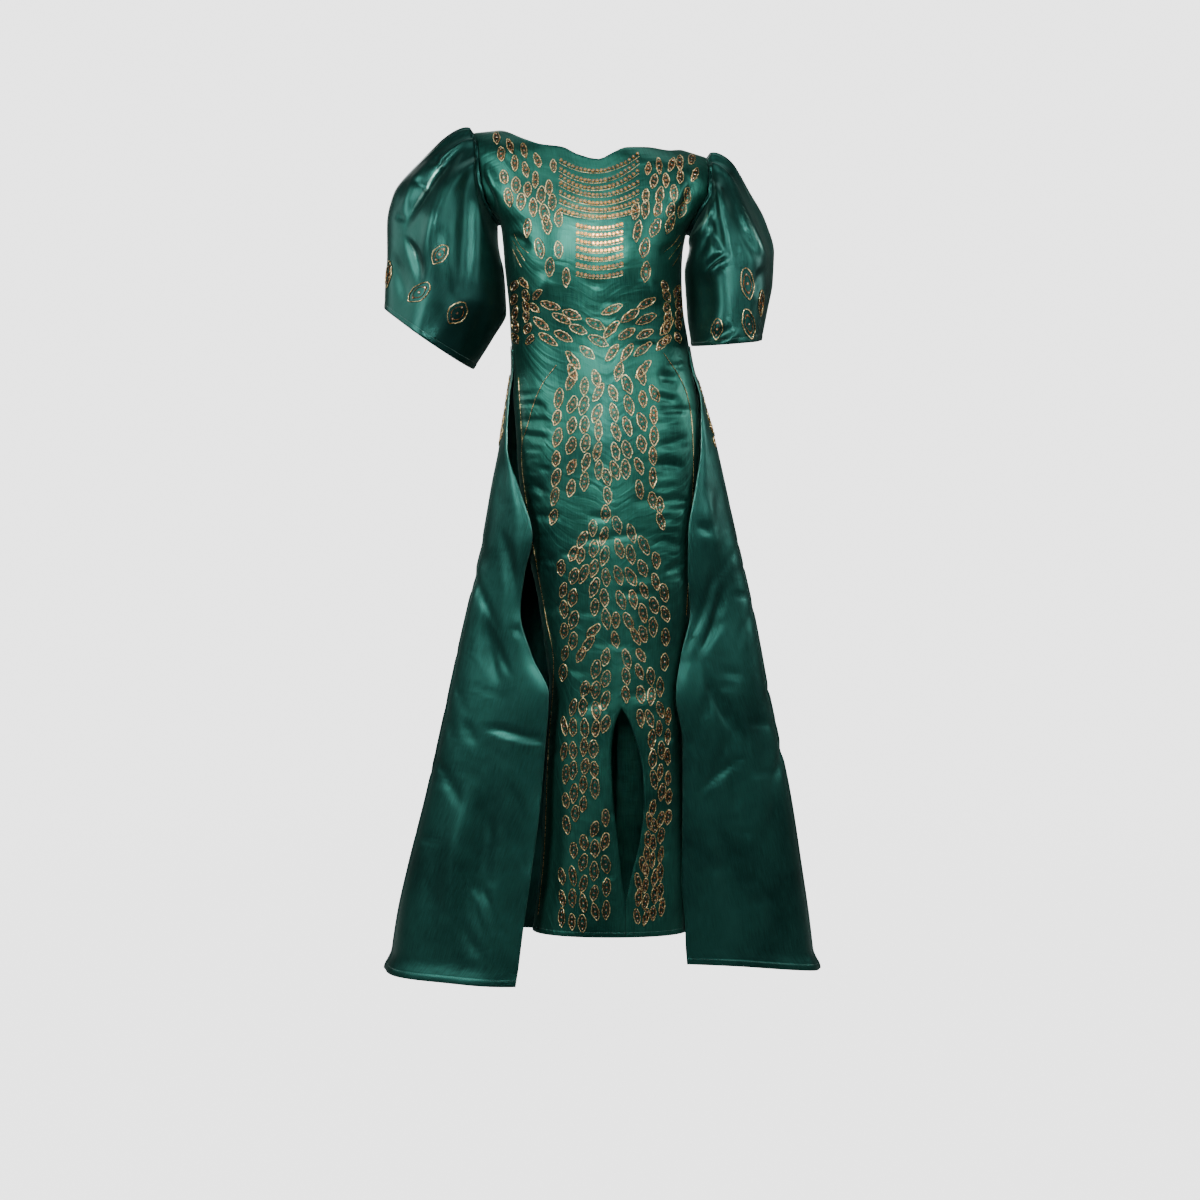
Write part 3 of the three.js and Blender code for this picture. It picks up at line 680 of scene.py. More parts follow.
        def lower_turn(z: Array) -> Array:
            """Return the columns' turns, which part round the slit."""
            held = np.minimum(z, self.slit_top)
            right = FORM.turn_at(self.slit.read("right", held), held)
            left = FORM.turn_at(self.slit.read("left", held), held)
            middle = np.where(z > self.slit_top, (right + left) / 2, 0)
            right = np.where(z > self.slit_top, middle, right)
            left = np.where(z > self.slit_top, middle, left)
            parted = np.where(
                is_right,
                mix(-1, right, (plain + 1) / (at_slit + 1)),
                mix(left, 1, (plain - at_slit) / (1 - at_slit)),
            )
            share = (self.slit_top + self.slit_blend - z) / self.slit_blend
            return mix(plain, parted, smooth_step(share))

        points = self.grid(plain, lower_turn, -1)
        points[..., 1] = np.minimum(points[..., 1], -self.seam_gap / 2)
        first = int(np.argmax(self.row_steps() < self.slit_top))
        first += len(self.down_steps()) + self.join_rows - 2
        cloth = Cloth(points, parted_at=split, parted_from=first)
        x, z = points[..., 0], points[..., 2]
        edge = np.abs(np.abs(np.linspace(-1, 1, len(steps))) - 1) * self.front_girth
        folds = crumpled(x, z, self.front_creases, *self.front_fields) * smooth_step(edge / self.smooth_side)
        seam = -self.seam_sink * bell(edge, self.seam_width)
        hem = self.hem_move(cloth) + self.neck_move(len(points)) + seam
        shine = crumpled(x, z, self.front_shines)
        return self.finished(cloth, "front_satin", folds, shine, hem)

    def back(self, side: str) -> tuple[Piece, Array]:
        """Return half of the back.

        Args:
            side: the wearer's left or right.

        Returns:
            The new object and its hem's stitch line.
        """
        towards = sign(side)
        columns = self.columns // 2 + 2
        from_seam = np.arange(columns + 1)
        if side == "left":
            from_seam = from_seam[::-1]
        turn = towards * from_seam / columns
        points = self.grid(turn, lambda z: turn + 0 * z, 1)
        points[..., 1] = np.maximum(points[..., 1], self.seam_gap / 2)
        points[:, from_seam == 0, 0] += towards * self.back_gap / 2
        cloth = Cloth(points)
        x, z = points[..., 0], points[..., 2]
        to_middle = from_seam / columns * self.back_girth
        to_side = (1 - from_seam / columns) * self.back_girth
        open_cloth = smooth_step(to_middle / self.smooth_middle) * smooth_step(to_side / self.smooth_side)
        covered = smooth_step((z - FORM.waist_z) / self.covered_below)
        folds = crumpled(x, z, self.back_creases, self.back_field) * open_cloth * covered
        seam = -self.seam_sink * (bell(to_middle, self.back_seam_width) + bell(to_side, self.seam_width))
        hem = self.hem_move(cloth) + self.neck_move(len(points)) + seam
        middle = int(np.argmin(from_seam))
        return self.finished(cloth, f"back_{side}_satin", folds, 0 * x, hem, middle)


@dataclass(frozen=True)
class Sleeve(Panel):
    """A gathered puff sleeve with a wide open hem."""

    side: str = "right"
    columns: int = 144
    rows: int = 74
    armhole_gap: float = 0.6
    gathers: int = 11
    gather_depth: float = 5.5
    crowding: float = 0.4
    folds: int = 5
    fold_depth: float = 7
    head_length: float = 0.2
    length: float = 330
    closer_above: float = 1.15
    gathered_at: float = 0.11
    gathered_over: float = 0.14
    folded_from: float = 0.2
    folded_over: float = 0.3
    fold_fade: float = 0.4
    second_gather: float = 0.28
    clearance: float = 5
    clear_until: float = 0.14
    back_change: Triple = (0.7, 1.1, 0.6)
    back_shift: Pair = (12, 14)

    rings = {
        "right": Table(
            "along inner_x inner_z outer_x outer_z front back y",
            (0, -146, -132, -190, 19, 54, 50, 0), (0.08, -149, -142, -207, 25, 70, 62, 0),
            (0.2, -147, -160, -246, -2, 86, 76, -2), (0.35, -144, -190, -292, -46, 100, 90, -3),
            (0.5, -141, -215, -319, -86, 106, 98, -4), (0.65, -139, -245, -330, -132, 106, 100, -5),
            (0.8, -138, -277, -331, -187, 102, 98, -5), (0.9, -161, -318, -335, -229, 98, 95, -5),
            (1, -193, -368, -337, -269, 95, 93, -5),
        ),
        "left": Table(
            "along inner_x inner_z outer_x outer_z front back y",
            (0, 158, -148, 191, -21, 54, 50, 0), (0.08, 160, -158, 208, -17, 72, 62, 0),
            (0.2, 158, -174, 234, -36, 92, 78, 0), (0.35, 156, -196, 265, -84, 108, 96, 2),
            (0.5, 156, -217, 288, -128, 117, 108, 3), (0.65, 157, -240, 303, -178, 121, 114, 4),
            (0.8, 161, -281, 302, -226, 122, 117, 5), (0.9, 165, -306, 294, -272, 121, 118, 5),
            (1, 169, -330, 285, -321, 120, 118, 5),
        ),
    }
    front_creases = {
        "right": creases(
            (-196, 4, -300, -150, -11, 13, -16, 2.4, 0.45), (-202, 2, -312, -120, 5, 14, -14),
            (-192, 0, -268, -205, 7, 15, -10), (-188, -6, -214, -300, -9, 22, 6, 2, 0.35),
            (-184, -14, -186, -240, 5, 14, 5), (-262, -26, -226, -44, -3.2, 5, 2),
            (-292, -62, -258, -78, -3, 6, 2), (-318, -118, -296, -128, -2.6, 6, 2),
            (-300, -148, -272, -232, -6, 9, 6, 2.4), (-322, -170, -286, -268, -3, 12, -4),
            (-190, -232, -232, -318, 4, 16, -6), (-166, -250, -204, -350, -5, 15, 5),
            (-244, -250, -262, -322, -2.4, 12, 3),
        ),
        "left": creases(
            (197, -34, 224, -196, -15, 14, -14, 2.4, 0.5), (193, -44, 216, -178, 9, 10, -10, 2.2),
            (206, -30, 238, -210, 6, 13, -12), (196, -78, 154, -172, 7, 9, 9, 2.2),
            (188, -104, 172, -196, -8, 12, 4), (224, -178, 180, -214, -6, 6, -5, 2.4),
            (228, -188, 186, -226, 4, 7, -4), (232, -66, 296, -202, 6, 10, -8, 2.2),
            (222, -58, 284, -206, -4, 13, -8), (286, -196, 266, -252, -5, 10, -3),
            (244, -300, 202, -330, 5, 9, 3), (232, -296, 188, -320, -5, 9, 3),
            (176, -190, 186, -310, -9, 22, 3),
        ),
    }
    shines = {
        "right": creases(
            (-199, 0, -300, -152, 0.9, 2.6, -19), (-300, -152, -284, -200, 0.7, 2.4, 5),
            (-180, -70, -162, -112, 0.8, 2.2, 2),
        ),
        "left": creases(
            (194, -78, 154, -168, 0.9, 2.2, 11), (226, -180, 182, -218, 0.7, 2.4, -3),
            (236, -70, 298, -206, 0.8, 2.2, -9), (195, -52, 209, -96, 0.7, 2, -3),
        ),
    }

    def head(self, down: Array, in_front: Array) -> Array:
        """Return points of the armhole's edge."""
        front, back = (FORM.upper(sign(self.side), down, facing) for facing in (-1, 1))
        return np.where(in_front[..., None], front, back)

    def swell(self, along: Array, angle: Array, share: Array, outwards: int) -> Array:
        """Return how far gathers and folds stand out of the oval."""
        gathered = bell(along - self.gathered_at, self.gathered_over) * smooth_step(along / 0.05)
        gathered = gathered * np.clip(0.45 + 0.75 * np.cos(angle), 0, 1)
        folded = smooth_step((along - self.folded_from) / self.folded_over) * (1 - self.fold_fade * along)
        folded = folded * smooth_step(0.5 + 0.7 * np.cos(angle))
        wave = np.cos(2 * math.pi * self.gathers * share)
        sharpened = wave + self.second_gather * np.cos(4 * math.pi * self.gathers * share + 0.6)
        turned = self.folds * angle + outwards * (0.6 + along)
        return self.gather_depth * gathered * sharpened + self.fold_depth * folded * np.cos(turned)

    def hung(self, along: Array, angle: Array, share: Array) -> Array:
        """Give the sleeve's points.

        Args:
            along: how far each row is from the armhole to the hem.
            angle: how far each column is round the sleeve, in radians.
            share: how far each column is round the armhole, from 0 to 1.

        Returns:
            The points, with gathers and folds.
        """
        outwards = sign(self.side)
        rings = self.rings[self.side]
        read = {name: rings.read(name, along) for name in rings.values}
        outer = stack(read["outer_x"], read["y"], read["outer_z"])
        inner = stack(read["inner_x"], read["y"], read["inner_z"])
        centre = (inner + outer) / 2
        oval = mix(inner, outer, ((1 + np.cos(angle)) / 2)[..., None])
        deep = np.where(np.sin(angle) >= 0, read["front"], read["back"])
        oval[..., 1] -= np.sin(angle) * deep
        head = self.head((1 - np.cos(angle)) / 2, share <= 0.5)
        head[..., 0] += outwards * self.armhole_gap
        point = mix(head, oval, smooth_step(along / self.head_length)[..., None])
        point = point + unit(point - centre) * self.swell(along, angle, share, outwards)[..., None]
        clear = outwards * head[..., 0] + self.clearance * smooth_step(along / 0.06)
        near = 1 - smooth_step((along - self.clear_until) / self.folded_over)
        point[..., 0] += outwards * near * np.maximum(0, clear - outwards * point[..., 0])
        return point

    def make(self) -> tuple[Piece, Array]:
        """Return the sleeve and its hem's stitch line."""
        outwards = sign(self.side)
        share = np.arange(self.columns) / self.columns
        if self.side == "left":
            share = (1 - share) % 1
        share = share[None, :]
        even = 2 * math.pi * share
        angle = even - self.crowding * np.sin(even)
        hem = 1 - Hem(self.turned).rows() / self.length
        plain = np.linspace(0, 1, self.rows) ** self.closer_above
        along = np.concatenate([plain[plain < hem.min() - 0.004], np.sort(hem)])[:, None]

        point = self.hung(along, angle, share)
        cloth = Cloth(point, closed=True)
        x, z = point[..., 0], point[..., 2]
        in_front = smooth_step((np.sin(angle) + 0.1) / 0.3)
        in_back = smooth_step((-np.sin(angle) + 0.1) / 0.3)
        free = smooth_step((along - 0.03) / 0.12)
        front = self.front_creases[self.side]
        deep, wide, bowed = self.back_change
        back = [Crease(c.start, c.end, c.depth * deep, c.width * wide, c.bow * bowed) for c in front[::2]]
        behind = crumpled(x + outwards * self.back_shift[0], z - self.back_shift[1], back)
        folds = free * (in_front * crumpled(x, z, front) + in_back * behind)
        shine = free * in_front * crumpled(x, z, self.shines[self.side])
        return self.finished(cloth, f"sleeve_{self.side}_satin", folds, shine, self.hem_move(cloth))


@dataclass(frozen=True)
class Overskirt(Panel):
    """Half of the flared overskirt, from its front edge round the side to the centre-back seam."""

    side: str = "right"
    turned: float = 13
    edge_turned: float = 4
    face_columns: int = 34
    back_columns: int = 70
    rows: int = 158
    wall: float = 1.6
    waist_gap: float = 0.4
    seam_gap: float = 0.06
    centre: float = 26
    bow: float = 1.18
    edge_turn: float = 5 / 6
    stand_off: float = 0.05
    blend_from: float = -335
    blend_to: float = -470
    back_folds: int = 3
    back_fold_depth: float = 16
    face_folds: float = 1.5
    face_fold_depth: float = 6
    hem_flip: float = 9
    hem_flip_height: float = 34
    closer_at_edge: float = 1.12
    back_width: float = 420
    seam_sink: float = 0.5
    seam_width: float = 3
    edge_wave: float = 1.6
    edge_width: float = 20
    edge_shine: float = 0.55
    edge_shine_width: float = 1.3
    smooth_edge: float = 12
    smooth_waist: float = 60
    turn_share: float = 0.2
    fold_growth: float = 700
    fold_start: float = 0.15
    flip_at_ends: float = 0.3

    outline = Table(
        "z right left y back",
        (-330, -136, 168, 0, 82), (-420, -142, 191, 2, 106), (-495, -152, 212, 4, 126),
        (-560, -165, 227, 7, 142), (-640, -179, 245, 11, 162), (-700, -191, 259, 15, 178),
        (-770, -207, 275, 19, 196), (-840, -223, 289, 23, 213), (-905, -237, 301, 27, 229),
        (-992, -256, 320, 31, 250), (-1100, -281, 343, 35, 275), (-1228, -314, 364, 38, 304),
        (-1311, -333, 377, 40, 323), (-1420, -350, 391, 42, 346),
    )
    edges = Table(
        "z right_x right_y left_x left_y",
        (-330, -132, -30, 163, -30), (-420, -136, -38, 184, -38), (-495, -136, -50, 183, -54),
        (-560, -116, -70, 174, -68), (-640, -94, -82, 162, -74), (-700, -107, -70, 162, -66),
        (-770, -115, -62, 166, -58), (-840, -96, -66, 151, -66), (-905, -68, -74, 143, -72),
        (-992, -74, -72, 155, -62), (-1100, -84, -70, 155, -58), (-1228, -101, -70, 154, -54),
        (-1311, -113, -74, 161, -46), (-1420, -126, -82, 164, -40),
    )
    hems = {"right": -1402, "left": -1374, "side": -1408, "back": -1414}
    face_creases = {
        "right": creases(
            (-186, -964, -76, -984, -6.5, 6, 3, 2.4), (-214, -950, -196, -1004, -3.9, 7, 2),
            (-138, -806, -84, -792, -3.9, 8, 3), (-196, -1040, -244, -1340, 9.1, 26, -8, 2, 0.6),
            (-160, -1030, -184, -1300, -6.5, 20, -6, 2, 0.5), (-222, -1170, -168, -1350, -4.4, 8, -7),
            (-204, -1200, -146, -1340, -3.6, 7, 5), (-150, -620, -126, -760, -5.2, 12, 6),
            (-176, -760, -150, -900, -5.2, 14, -6), (-122, -1120, -96, -1240, -3.9, 10, 4),
        ),
        "left": creases(
            (226, -712, 184, -842, -6, 7, 6, 2.4), (184, -842, 262, -1000, -5.2, 8, -8, 2.4),
            (166, -1092, 276, -1006, -5.7, 7, 7, 2.4), (236, -1000, 262, -1130, -4.4, 9, -5),
            (196, -560, 214, -690, 6.5, 16, -5), (250, -880, 310, -1180, 7.8, 24, -10, 2, 0.6),
            (206, -1120, 250, -1320, -5.2, 16, 6), (186, -1200, 202, -1350, -3.9, 10, -4),
            (174, -620, 200, -640, -3.9, 6, 2), (290, -1230, 330, -1370, -5.2, 14, 5),
        ),
    }
    back_creases = creases(
        (-150, -700, -60, -730, -4, 10, 6), (180, -820, 90, -850, -4, 10, -6),
        (-220, -960, -130, -1010, -4, 9, 5), (230, -1080, 150, -1050, -4, 9, -5),
        (-120, -430, -96, -560, -4, 12, 4), (150, -430, 128, -560, -4, 12, -4),
        (-40, -420, -36, -600, -4, 14, 4), (84, -420, 80, -600, -4, 14, -4),
        (-280, -1180, -180, -1210, -3, 8, 3), (60, -1240, 130, -1290, -3.5, 9, 4),
    )
    face_fields = {
        "right": (
            CreaseField((-300, -120), (-640, -1340), 16, (98, 128), (60, 170), (-3.4, -1.2), (5, 11), 23),
            CreaseField((-290, -90), (-700, -1360), 12, (-20, 24), (30, 80), (-2.2, -0.8), (4, 8), 27),
        ),
        "left": (
            CreaseField((170, 330), (-560, -1320), 18, (52, 84), (60, 180), (-3.6, -1.2), (5, 11), 29),
            CreaseField((170, 330), (-680, -1340), 13, (-24, 30), (30, 90), (-2.4, -0.8), (4, 8), 33),
        ),
    }
    back_field = CreaseField((-260, 300), (-520, -1340), 26, (60, 120), (60, 150), (-2.6, -1.0), (5, 11), 37)

    def shares(self) -> tuple[Array, Array, Array]:
        """Return how far each column is over the face and over the back, and each row down."""
        face = np.linspace(0, 1, self.face_columns + 1) ** self.closer_at_edge
        face = np.sort(np.concatenate([face, [0.003, 0.008, 0.016]]))
        columns = np.concatenate([face, 1 + np.linspace(0, 1, self.back_columns + 1)[1:]])
        if self.side == "right":
            columns = columns[::-1]
        near_hem = 1 - Hem(self.turned).rows() / (FORM.waist_z - self.hems["side"])
        plain = np.linspace(0, 1, self.rows)
        down = np.concatenate([plain[plain < near_hem.min() - 0.002], np.sort(near_hem)])
        return np.clip(columns, 0, 1)[None, :], np.clip(columns - 1, 0, 1)[None, :], down[:, None]

    def hung(self, on_face: Array, on_back: Array, z: Array, hem: Array, seam_x: Array) -> Array:
        """Give the points where the cloth hangs free.

        Args:
            on_face: how far each column is over the face.
            on_back: how far each column is over the back.
            z: each point's height.
            hem: each column's height at the hem.
            seam_x: how far across the centre-back seam is.

        Returns:
            The points, with their folds and lifted hem.
        """
        behind = on_back > 0
        side_x, side_y = self.outline.read(self.side, z), self.outline.read("y", z)
        edge_x, edge_y = (self.edges.read(f"{self.side}_{axis}", z) for axis in "xy")
        swing = math.pi / 2 * (1 - on_face)
        turned = math.pi / 2 * on_back
        ahead = np.clip(np.cos(swing), 0, 1) ** self.bow
        inwards = np.clip(np.sin(swing), 0, 1) ** self.bow
        x = np.where(behind, mix(seam_x, side_x, np.cos(turned)), mix(edge_x, side_x, ahead))
        rear = mix(side_y, self.outline.read("back", z), np.sin(turned))
        y = np.where(behind, rear, mix(side_y, edge_y, inwards))
        out = unit(stack(x - (seam_x + edge_x) / 2, y - side_y, 0 * z))
        fallen = smooth_step((self.blend_to - z) / self.fold_growth + self.fold_start)
        back_fold = np.sqrt(np.abs(np.sin(math.pi * on_back)))
        back_fold = back_fold * np.cos(2 * math.pi * self.back_folds * on_back)
        face_fold = np.sin(math.pi * on_face) * np.sin(2 * math.pi * self.face_folds * on_face + 0.8)
        fold = fallen * (self.back_fold_depth * back_fold + self.face_fold_depth * face_fold)
        lifted = smooth_step(1 - (z - hem) / self.hem_flip_height)
        flip = lifted * mix(self.flip_at_ends, 1, np.sin(math.pi * (on_face + on_back) / 2))
        return stack(x, y, z) + out * (fold + self.hem_flip * flip)[..., None]

    def worn(self, on_face: Array, on_back: Array, z: Array) -> Array:
        """Return the points where the cloth lies on the dress."""
        behind = on_back > 0
        turn = sign(self.side) * np.where(behind, 1 - on_back, mix(self.edge_turn, 1, on_face)) + 0 * z
        off = self.waist_gap + self.wall + self.stand_off * (FORM.waist_z - z)
        front, back = (
            FORM.lower(turn, z, facing) + FORM.lower_normal(turn, z, facing) * off[..., None]
            for facing in (-1, 1)
        )
        return np.where(behind[..., None], back, front)

    def make(self) -> tuple[Piece, Array]:
        """Return the half overskirt and its hem's stitch line."""
        on_face, on_back, down = self.shares()
        hem = np.where(
            on_back > 0,
            mix(self.hems["side"], self.hems["back"], smooth_step(on_back)),
            mix(self.hems[self.side], self.hems["side"], smooth_step(on_face)),
        )
        z = mix(FORM.waist_z, hem, down)
        seam_x = mix(FORM.dress.read("centre", z), self.centre, smooth_step(down))
        loose = smooth_step((self.blend_from - z) / (self.blend_from - self.blend_to))
        hung = self.hung(on_face, on_back, z, hem, seam_x)
        points = mix(self.worn(on_face, on_back, z), hung, loose[..., None])
        middle = int(np.argmax(on_back))
        points[:, middle, 0] = (seam_x + sign(self.side) * self.seam_gap / 2)[:, 0]

        cloth = Cloth(points)
        x, z = points[..., 0], points[..., 2]
        in_front = 1 - smooth_step(on_back / self.turn_share)
        in_back = smooth_step(on_back / self.turn_share) * smooth_step((1 - on_back) / 0.04)
        across = cloth.lengths()[0]
        from_edge = np.abs(across - across[:, [-1 if self.side == "right" else 0]]) / MM
        held = smooth_step(from_edge / self.smooth_edge)
        held = held * smooth_step((FORM.waist_z - z) / self.smooth_waist)
        face_creased = crumpled(x, z, self.face_creases[self.side], *self.face_fields[self.side])
        back_creased = crumpled(x, z, self.back_creases, self.back_field)
        folds = held * (in_front * face_creased + in_back * back_creased)
        wave = self.edge_wave * np.sin(z / 23) * np.sin(z / 61 + 1) * bell(from_edge, self.edge_width)
        wave = wave * smooth_step(-(z + 380) / 60)
        seam = -self.seam_sink * bell((1 - on_back) * self.back_width, self.seam_width) * (on_back > 0)
        shine = self.edge_shine * bell(from_edge, self.edge_shine_width) * smooth_step(-(z + 350) / 30)
        turned = self.hem_move(cloth) + Hem(self.edge_turned, 0.4, 0.2).at(from_edge) + seam
        return self.finished(cloth, f"overskirt_{self.side}_satin", folds + wave, shine, turned, middle)


# Node trees written as sums

Value = "Socket | float | tuple[float, ...]"


def operation(name: str, swapped: bool = False) -> Callable[["Socket", Value], "Socket"]:
    """Return a method that makes a math node.

    Args:
        name: the node's operation.
        swapped: whether the other value comes first.

    Returns:
        The method.
    """

    def made(socket: "Socket", other: Value) -> "Socket":
        """Return the node's result."""
        values = (other, socket) if swapped else (socket, other)
        return socket.tree.math(name, *values)

    return made


class Socket:
    """A node's output that is added, multiplied and raised as a number is."""

    def __init__(self, tree: "Tree", socket: bpy.types.NodeSocket) -> None:
        """Keep the socket and the tree it is in."""
        self.tree = tree
        self.socket = socket

    __add__ = __radd__ = operation("ADD")
    __mul__ = __rmul__ = operation("MULTIPLY")
    __sub__ = operation("SUBTRACT")
    __rsub__ = operation("SUBTRACT", swapped=True)
    __pow__ = operation("POWER")


class Tree:
    """A node tree whose nodes are made by one method."""

    def __init__(self, tree: bpy.types.NodeTree) -> None:
        """Keep the tree, emptied."""
        self.tree = tree
        tree.nodes.clear()

    def add(self, kind: str, values: dict | None = None, **settings: Any) -> bpy.types.Node:
        """Make a node.

        Args:
            kind: the node's type.
            values: its inputs by name or place, as numbers or sockets.
            settings: its properties, set before its inputs.

        Returns:
            The node.
        """
        node = self.tree.nodes.new(kind)
        for name, value in settings.items():
            setattr(node, name, value)
        for name, value in (values or {}).items():
            if isinstance(value, Socket):
                self.tree.links.new(value.socket, node.inputs[name])
            else:
                node.inputs[name].default_value = value
        return node

    def get(self, kind: str, values: dict | None = None, out: str | int = 0, **settings: Any) -> Socket:
        """Make a node and return one of its outputs."""
        return Socket(self, self.add(kind, values, **settings).outputs[out])

    def math(self, kind: str, *values: Value) -> Socket:
        """Return a sum of numbers."""
        return self.get("ShaderNodeMath", dict(enumerate(values)), operation=kind)

    def vector(self, kind: str, *values: Value) -> Socket:
        """Return a sum of vectors."""
        return self.get("ShaderNodeVectorMath", dict(enumerate(values)), operation=kind)

    def scaled(self, vector: Value, by: Value) -> Socket:
        """Return a vector times a number."""
        return self.get("ShaderNodeVectorMath", {0: vector, "Scale": by}, operation="SCALE")

    def spread(self, **values: Value) -> Socket:
        """Return a vector from its X, Y and Z, 0 where not given."""
        return self.get("ShaderNodeCombineXYZ", values)

    def colour(self, a: Value, b: Value, share: Value) -> Socket:
        """Return the colour a share of the way from a to b."""
        return self.get("ShaderNodeMix", {0: share, 6: a, 7: b}, 2, data_type="RGBA")

    def steps(self, value: Value, low: float, high: float, kind: str = "SMOOTHSTEP") -> Socket:
        """Return a value spread from 0 at low to 1 at high."""
        values = {"Value": value, "From Min": low, "From Max": high}
        return self.get("ShaderNodeMapRange", values, interpolation_type=kind)

    def noise(self, where: Value, scale: float, detail: float = 2, distortion: float = 0) -> Socket:
        """Return soft noise from 0 to 1."""
        values = {"Vector": where, "Scale": scale, "Detail": detail, "Distortion": distortion}
        return self.get("ShaderNodeTexNoise", values)

    def mixed(self, share: Value, first: Socket, second: Socket) -> Socket:
        """Return the shader a share of the way from the first to the second."""
        return self.get("ShaderNodeMixShader", {0: share, 1: first, 2: second})

    def bump(self, strength: float, distance: float, height: Socket, **values: Socket) -> Socket:
        """Return normals bent by a height."""
        values = {"Strength": strength, "Distance": distance, "Height": height, **values}
        return self.get("ShaderNodeBump", values)


Colour = tuple[float, float, float, float]


@dataclass(frozen=True)
class Surface:
    """What every material shares."""

    name: str

    def make(self) -> bpy.types.Material:
        """Return the material."""
        material = bpy.data.materials.new(self.name)
        material.use_nodes = True
        tree = Tree(material.node_tree)
        place = tree.get("ShaderNodeTexCoord", out="Object")
        tree.add("ShaderNodeOutputMaterial", {"Surface": self.shader(tree, place)})
        return material

    def shader(self, tree: Tree, place: Socket) -> Socket:
        """Return the surface's shader, from its tree and each point's place in metres."""
        return tree.get("ShaderNodeBsdfPrincipled", self.values(tree, place))

    def values(self, tree: Tree, place: Socket) -> dict[str, Value]:
        """Return the usual shader's inputs."""
        return {}


@dataclass(frozen=True)
class Satin(Surface):
    """Two-tone satin, with slubs in its weave and a painted highlight, a paler colour, along the sharp
    crease edges.
    """

    deep: Colour
    bright: Colour
    crumple: float
    grain: Pair = (14, 70)
    # The pale colour painted along sharp crease edges as a highlight.
    painted_highlight: Colour = (0.11, 0.24, 0.20, 1)
    metallic: float = 0.92
    roughness: float = 0.33
    slubs: Triple = (2600, 240, 0)
    streaks: Triple = (620, 34, 0)
    parts: Triple = (0.6, 0.26, 0.14)

    def values(self, tree: Tree, place: Socket) -> dict[str, Value]:
        """Return the satin's inputs."""
        cloth = tree.get("ShaderNodeUVMap", uv_map="cloth")
        # Per-point share of the painted crease-edge highlight.
        painted_highlight = tree.get("ShaderNodeAttribute", out="Fac", attribute_name="painted_highlight")
        slub = tree.noise(tree.vector("MULTIPLY", cloth, self.slubs), 1, 1)
        streak = tree.noise(tree.vector("MULTIPLY", cloth, self.streaks), 1)
        fine = tree.noise(tree.vector("MULTIPLY", cloth, (*self.grain, 0)), 1, 3, 0.5)
        broad = tree.noise(place, 7, 3, 0.6)
        most, some, least = self.parts
        tone = tree.steps(broad * most + streak * some + slub * least, 0.32, 0.66)
        # Where the painted crease highlight shows, a little patchy.
        edge = tree.steps(painted_highlight * (0.55 + tree.noise(place, 160) * 0.9), 0.25, 0.85)
        crumpled = tree.bump(self.crumple, 0.0016, tree.steps(fine, 0.28, 0.72, "LINEAR"))
        return {
            # Random two-tone satin, with the painted crease highlight mixed in.
            "Base Color": tree.colour(tree.colour(self.deep, self.bright, tone), self.painted_highlight, edge),
            "Metallic": self.metallic,
            "Roughness": self.roughness + 0.08 * slub + 0.1 * streak - 0.06 * edge,
            "Normal": tree.bump(0.4, 0.00012, slub, Normal=crumpled),
            "Sheen Weight": 0.05, "Sheen Roughness": 0.4, "Sheen Tint": (0.35, 0.75, 0.62, 1),
            "Coat Weight": 0.03, "Coat Roughness": 0.35,
        }


@dataclass(frozen=True)
class Metal(Surface):
    """Gilt wire or a bronze cup, in dark and pale spots: uneven tone, which on the high-contrast wire is
    also painted glints.
    """

    dark: Colour
    light: Colour
    roughness: float
    spots: float = 420

    def values(self, tree: Tree, place: Socket) -> dict[str, Value]:
        """Return the metal's inputs."""
        # Dark and pale spots: uneven tone, and on the wire painted glints as well.
        tone = tree.noise(place, self.spots, 1)
        return {
            "Base Color": tree.colour(self.dark, self.light, tree.steps(tone, 0.38, 0.62)),
            "Metallic": 1.0,
            "Roughness": self.roughness + 0.15 * tone,
            "Normal": tree.bump(0.25, 0.0001, tree.noise(place, 2600, 1)),
        }


@dataclass(frozen=True)
class Crystal(Surface):
    """Pale cut glass."""

    tint: Colour

    def values(self, tree: Tree, place: Socket) -> dict[str, Value]:
        """Return the glass's inputs."""
        tone = tree.noise(place, 260, 1)
        return {
            "Base Color": tree.colour(self.tint, (0.92, 0.90, 0.80, 1), tone),
            "Roughness": 0.04 + 0.06 * tone, "IOR": 1.58, "Metallic": 0.25,
            "Transmission Weight": 0.35, "Coat Weight": 0.6, "Coat Roughness": 0.03,
        }


@dataclass(frozen=True)
class Thread(Surface):
    """Sewing thread in the cloth's own colour."""

    dark: Colour
    light: Colour

    def values(self, tree: Tree, place: Socket) -> dict[str, Value]:
        """Return the thread's inputs."""
        base = tree.colour(self.dark, self.light, tree.noise(place, 900, 1))
        return {"Base Color": base, "Roughness": 0.55, "Sheen Weight": 0.3}


@dataclass(frozen=True)
class Pale(Surface):
    """A floor that is pale to the camera, dim to all else, and gone further out."""

    tint: Colour
    second: Colour = (0.34, 0.34, 0.34, 1)
    even: Colour = (0.84, 0.84, 0.84, 1)
    glow: float = 4.9
    glowing: float = 0.72
    fade: Pair = (1.3, 2.4)

    def shader(self, tree: Tree, place: Socket) -> Socket:
        """Return the floor's shader."""
        base = tree.colour(self.tint, self.second, tree.noise(place, 2) * 0.3)
        far = tree.get("ShaderNodeVectorMath", {0: place}, "Value", operation="LENGTH")
        seen = tree.get("ShaderNodeLightPath", out="Is Camera Ray")
        lit = tree.get("ShaderNodeBsdfDiffuse", {"Color": base})
        even = tree.get("ShaderNodeEmission", {"Color": self.even, "Strength": self.glow})
        near = tree.mixed(seen * self.glowing, lit, even)
        return tree.mixed(tree.steps(far, *self.fade), near, tree.get("ShaderNodeBsdfTransparent"))


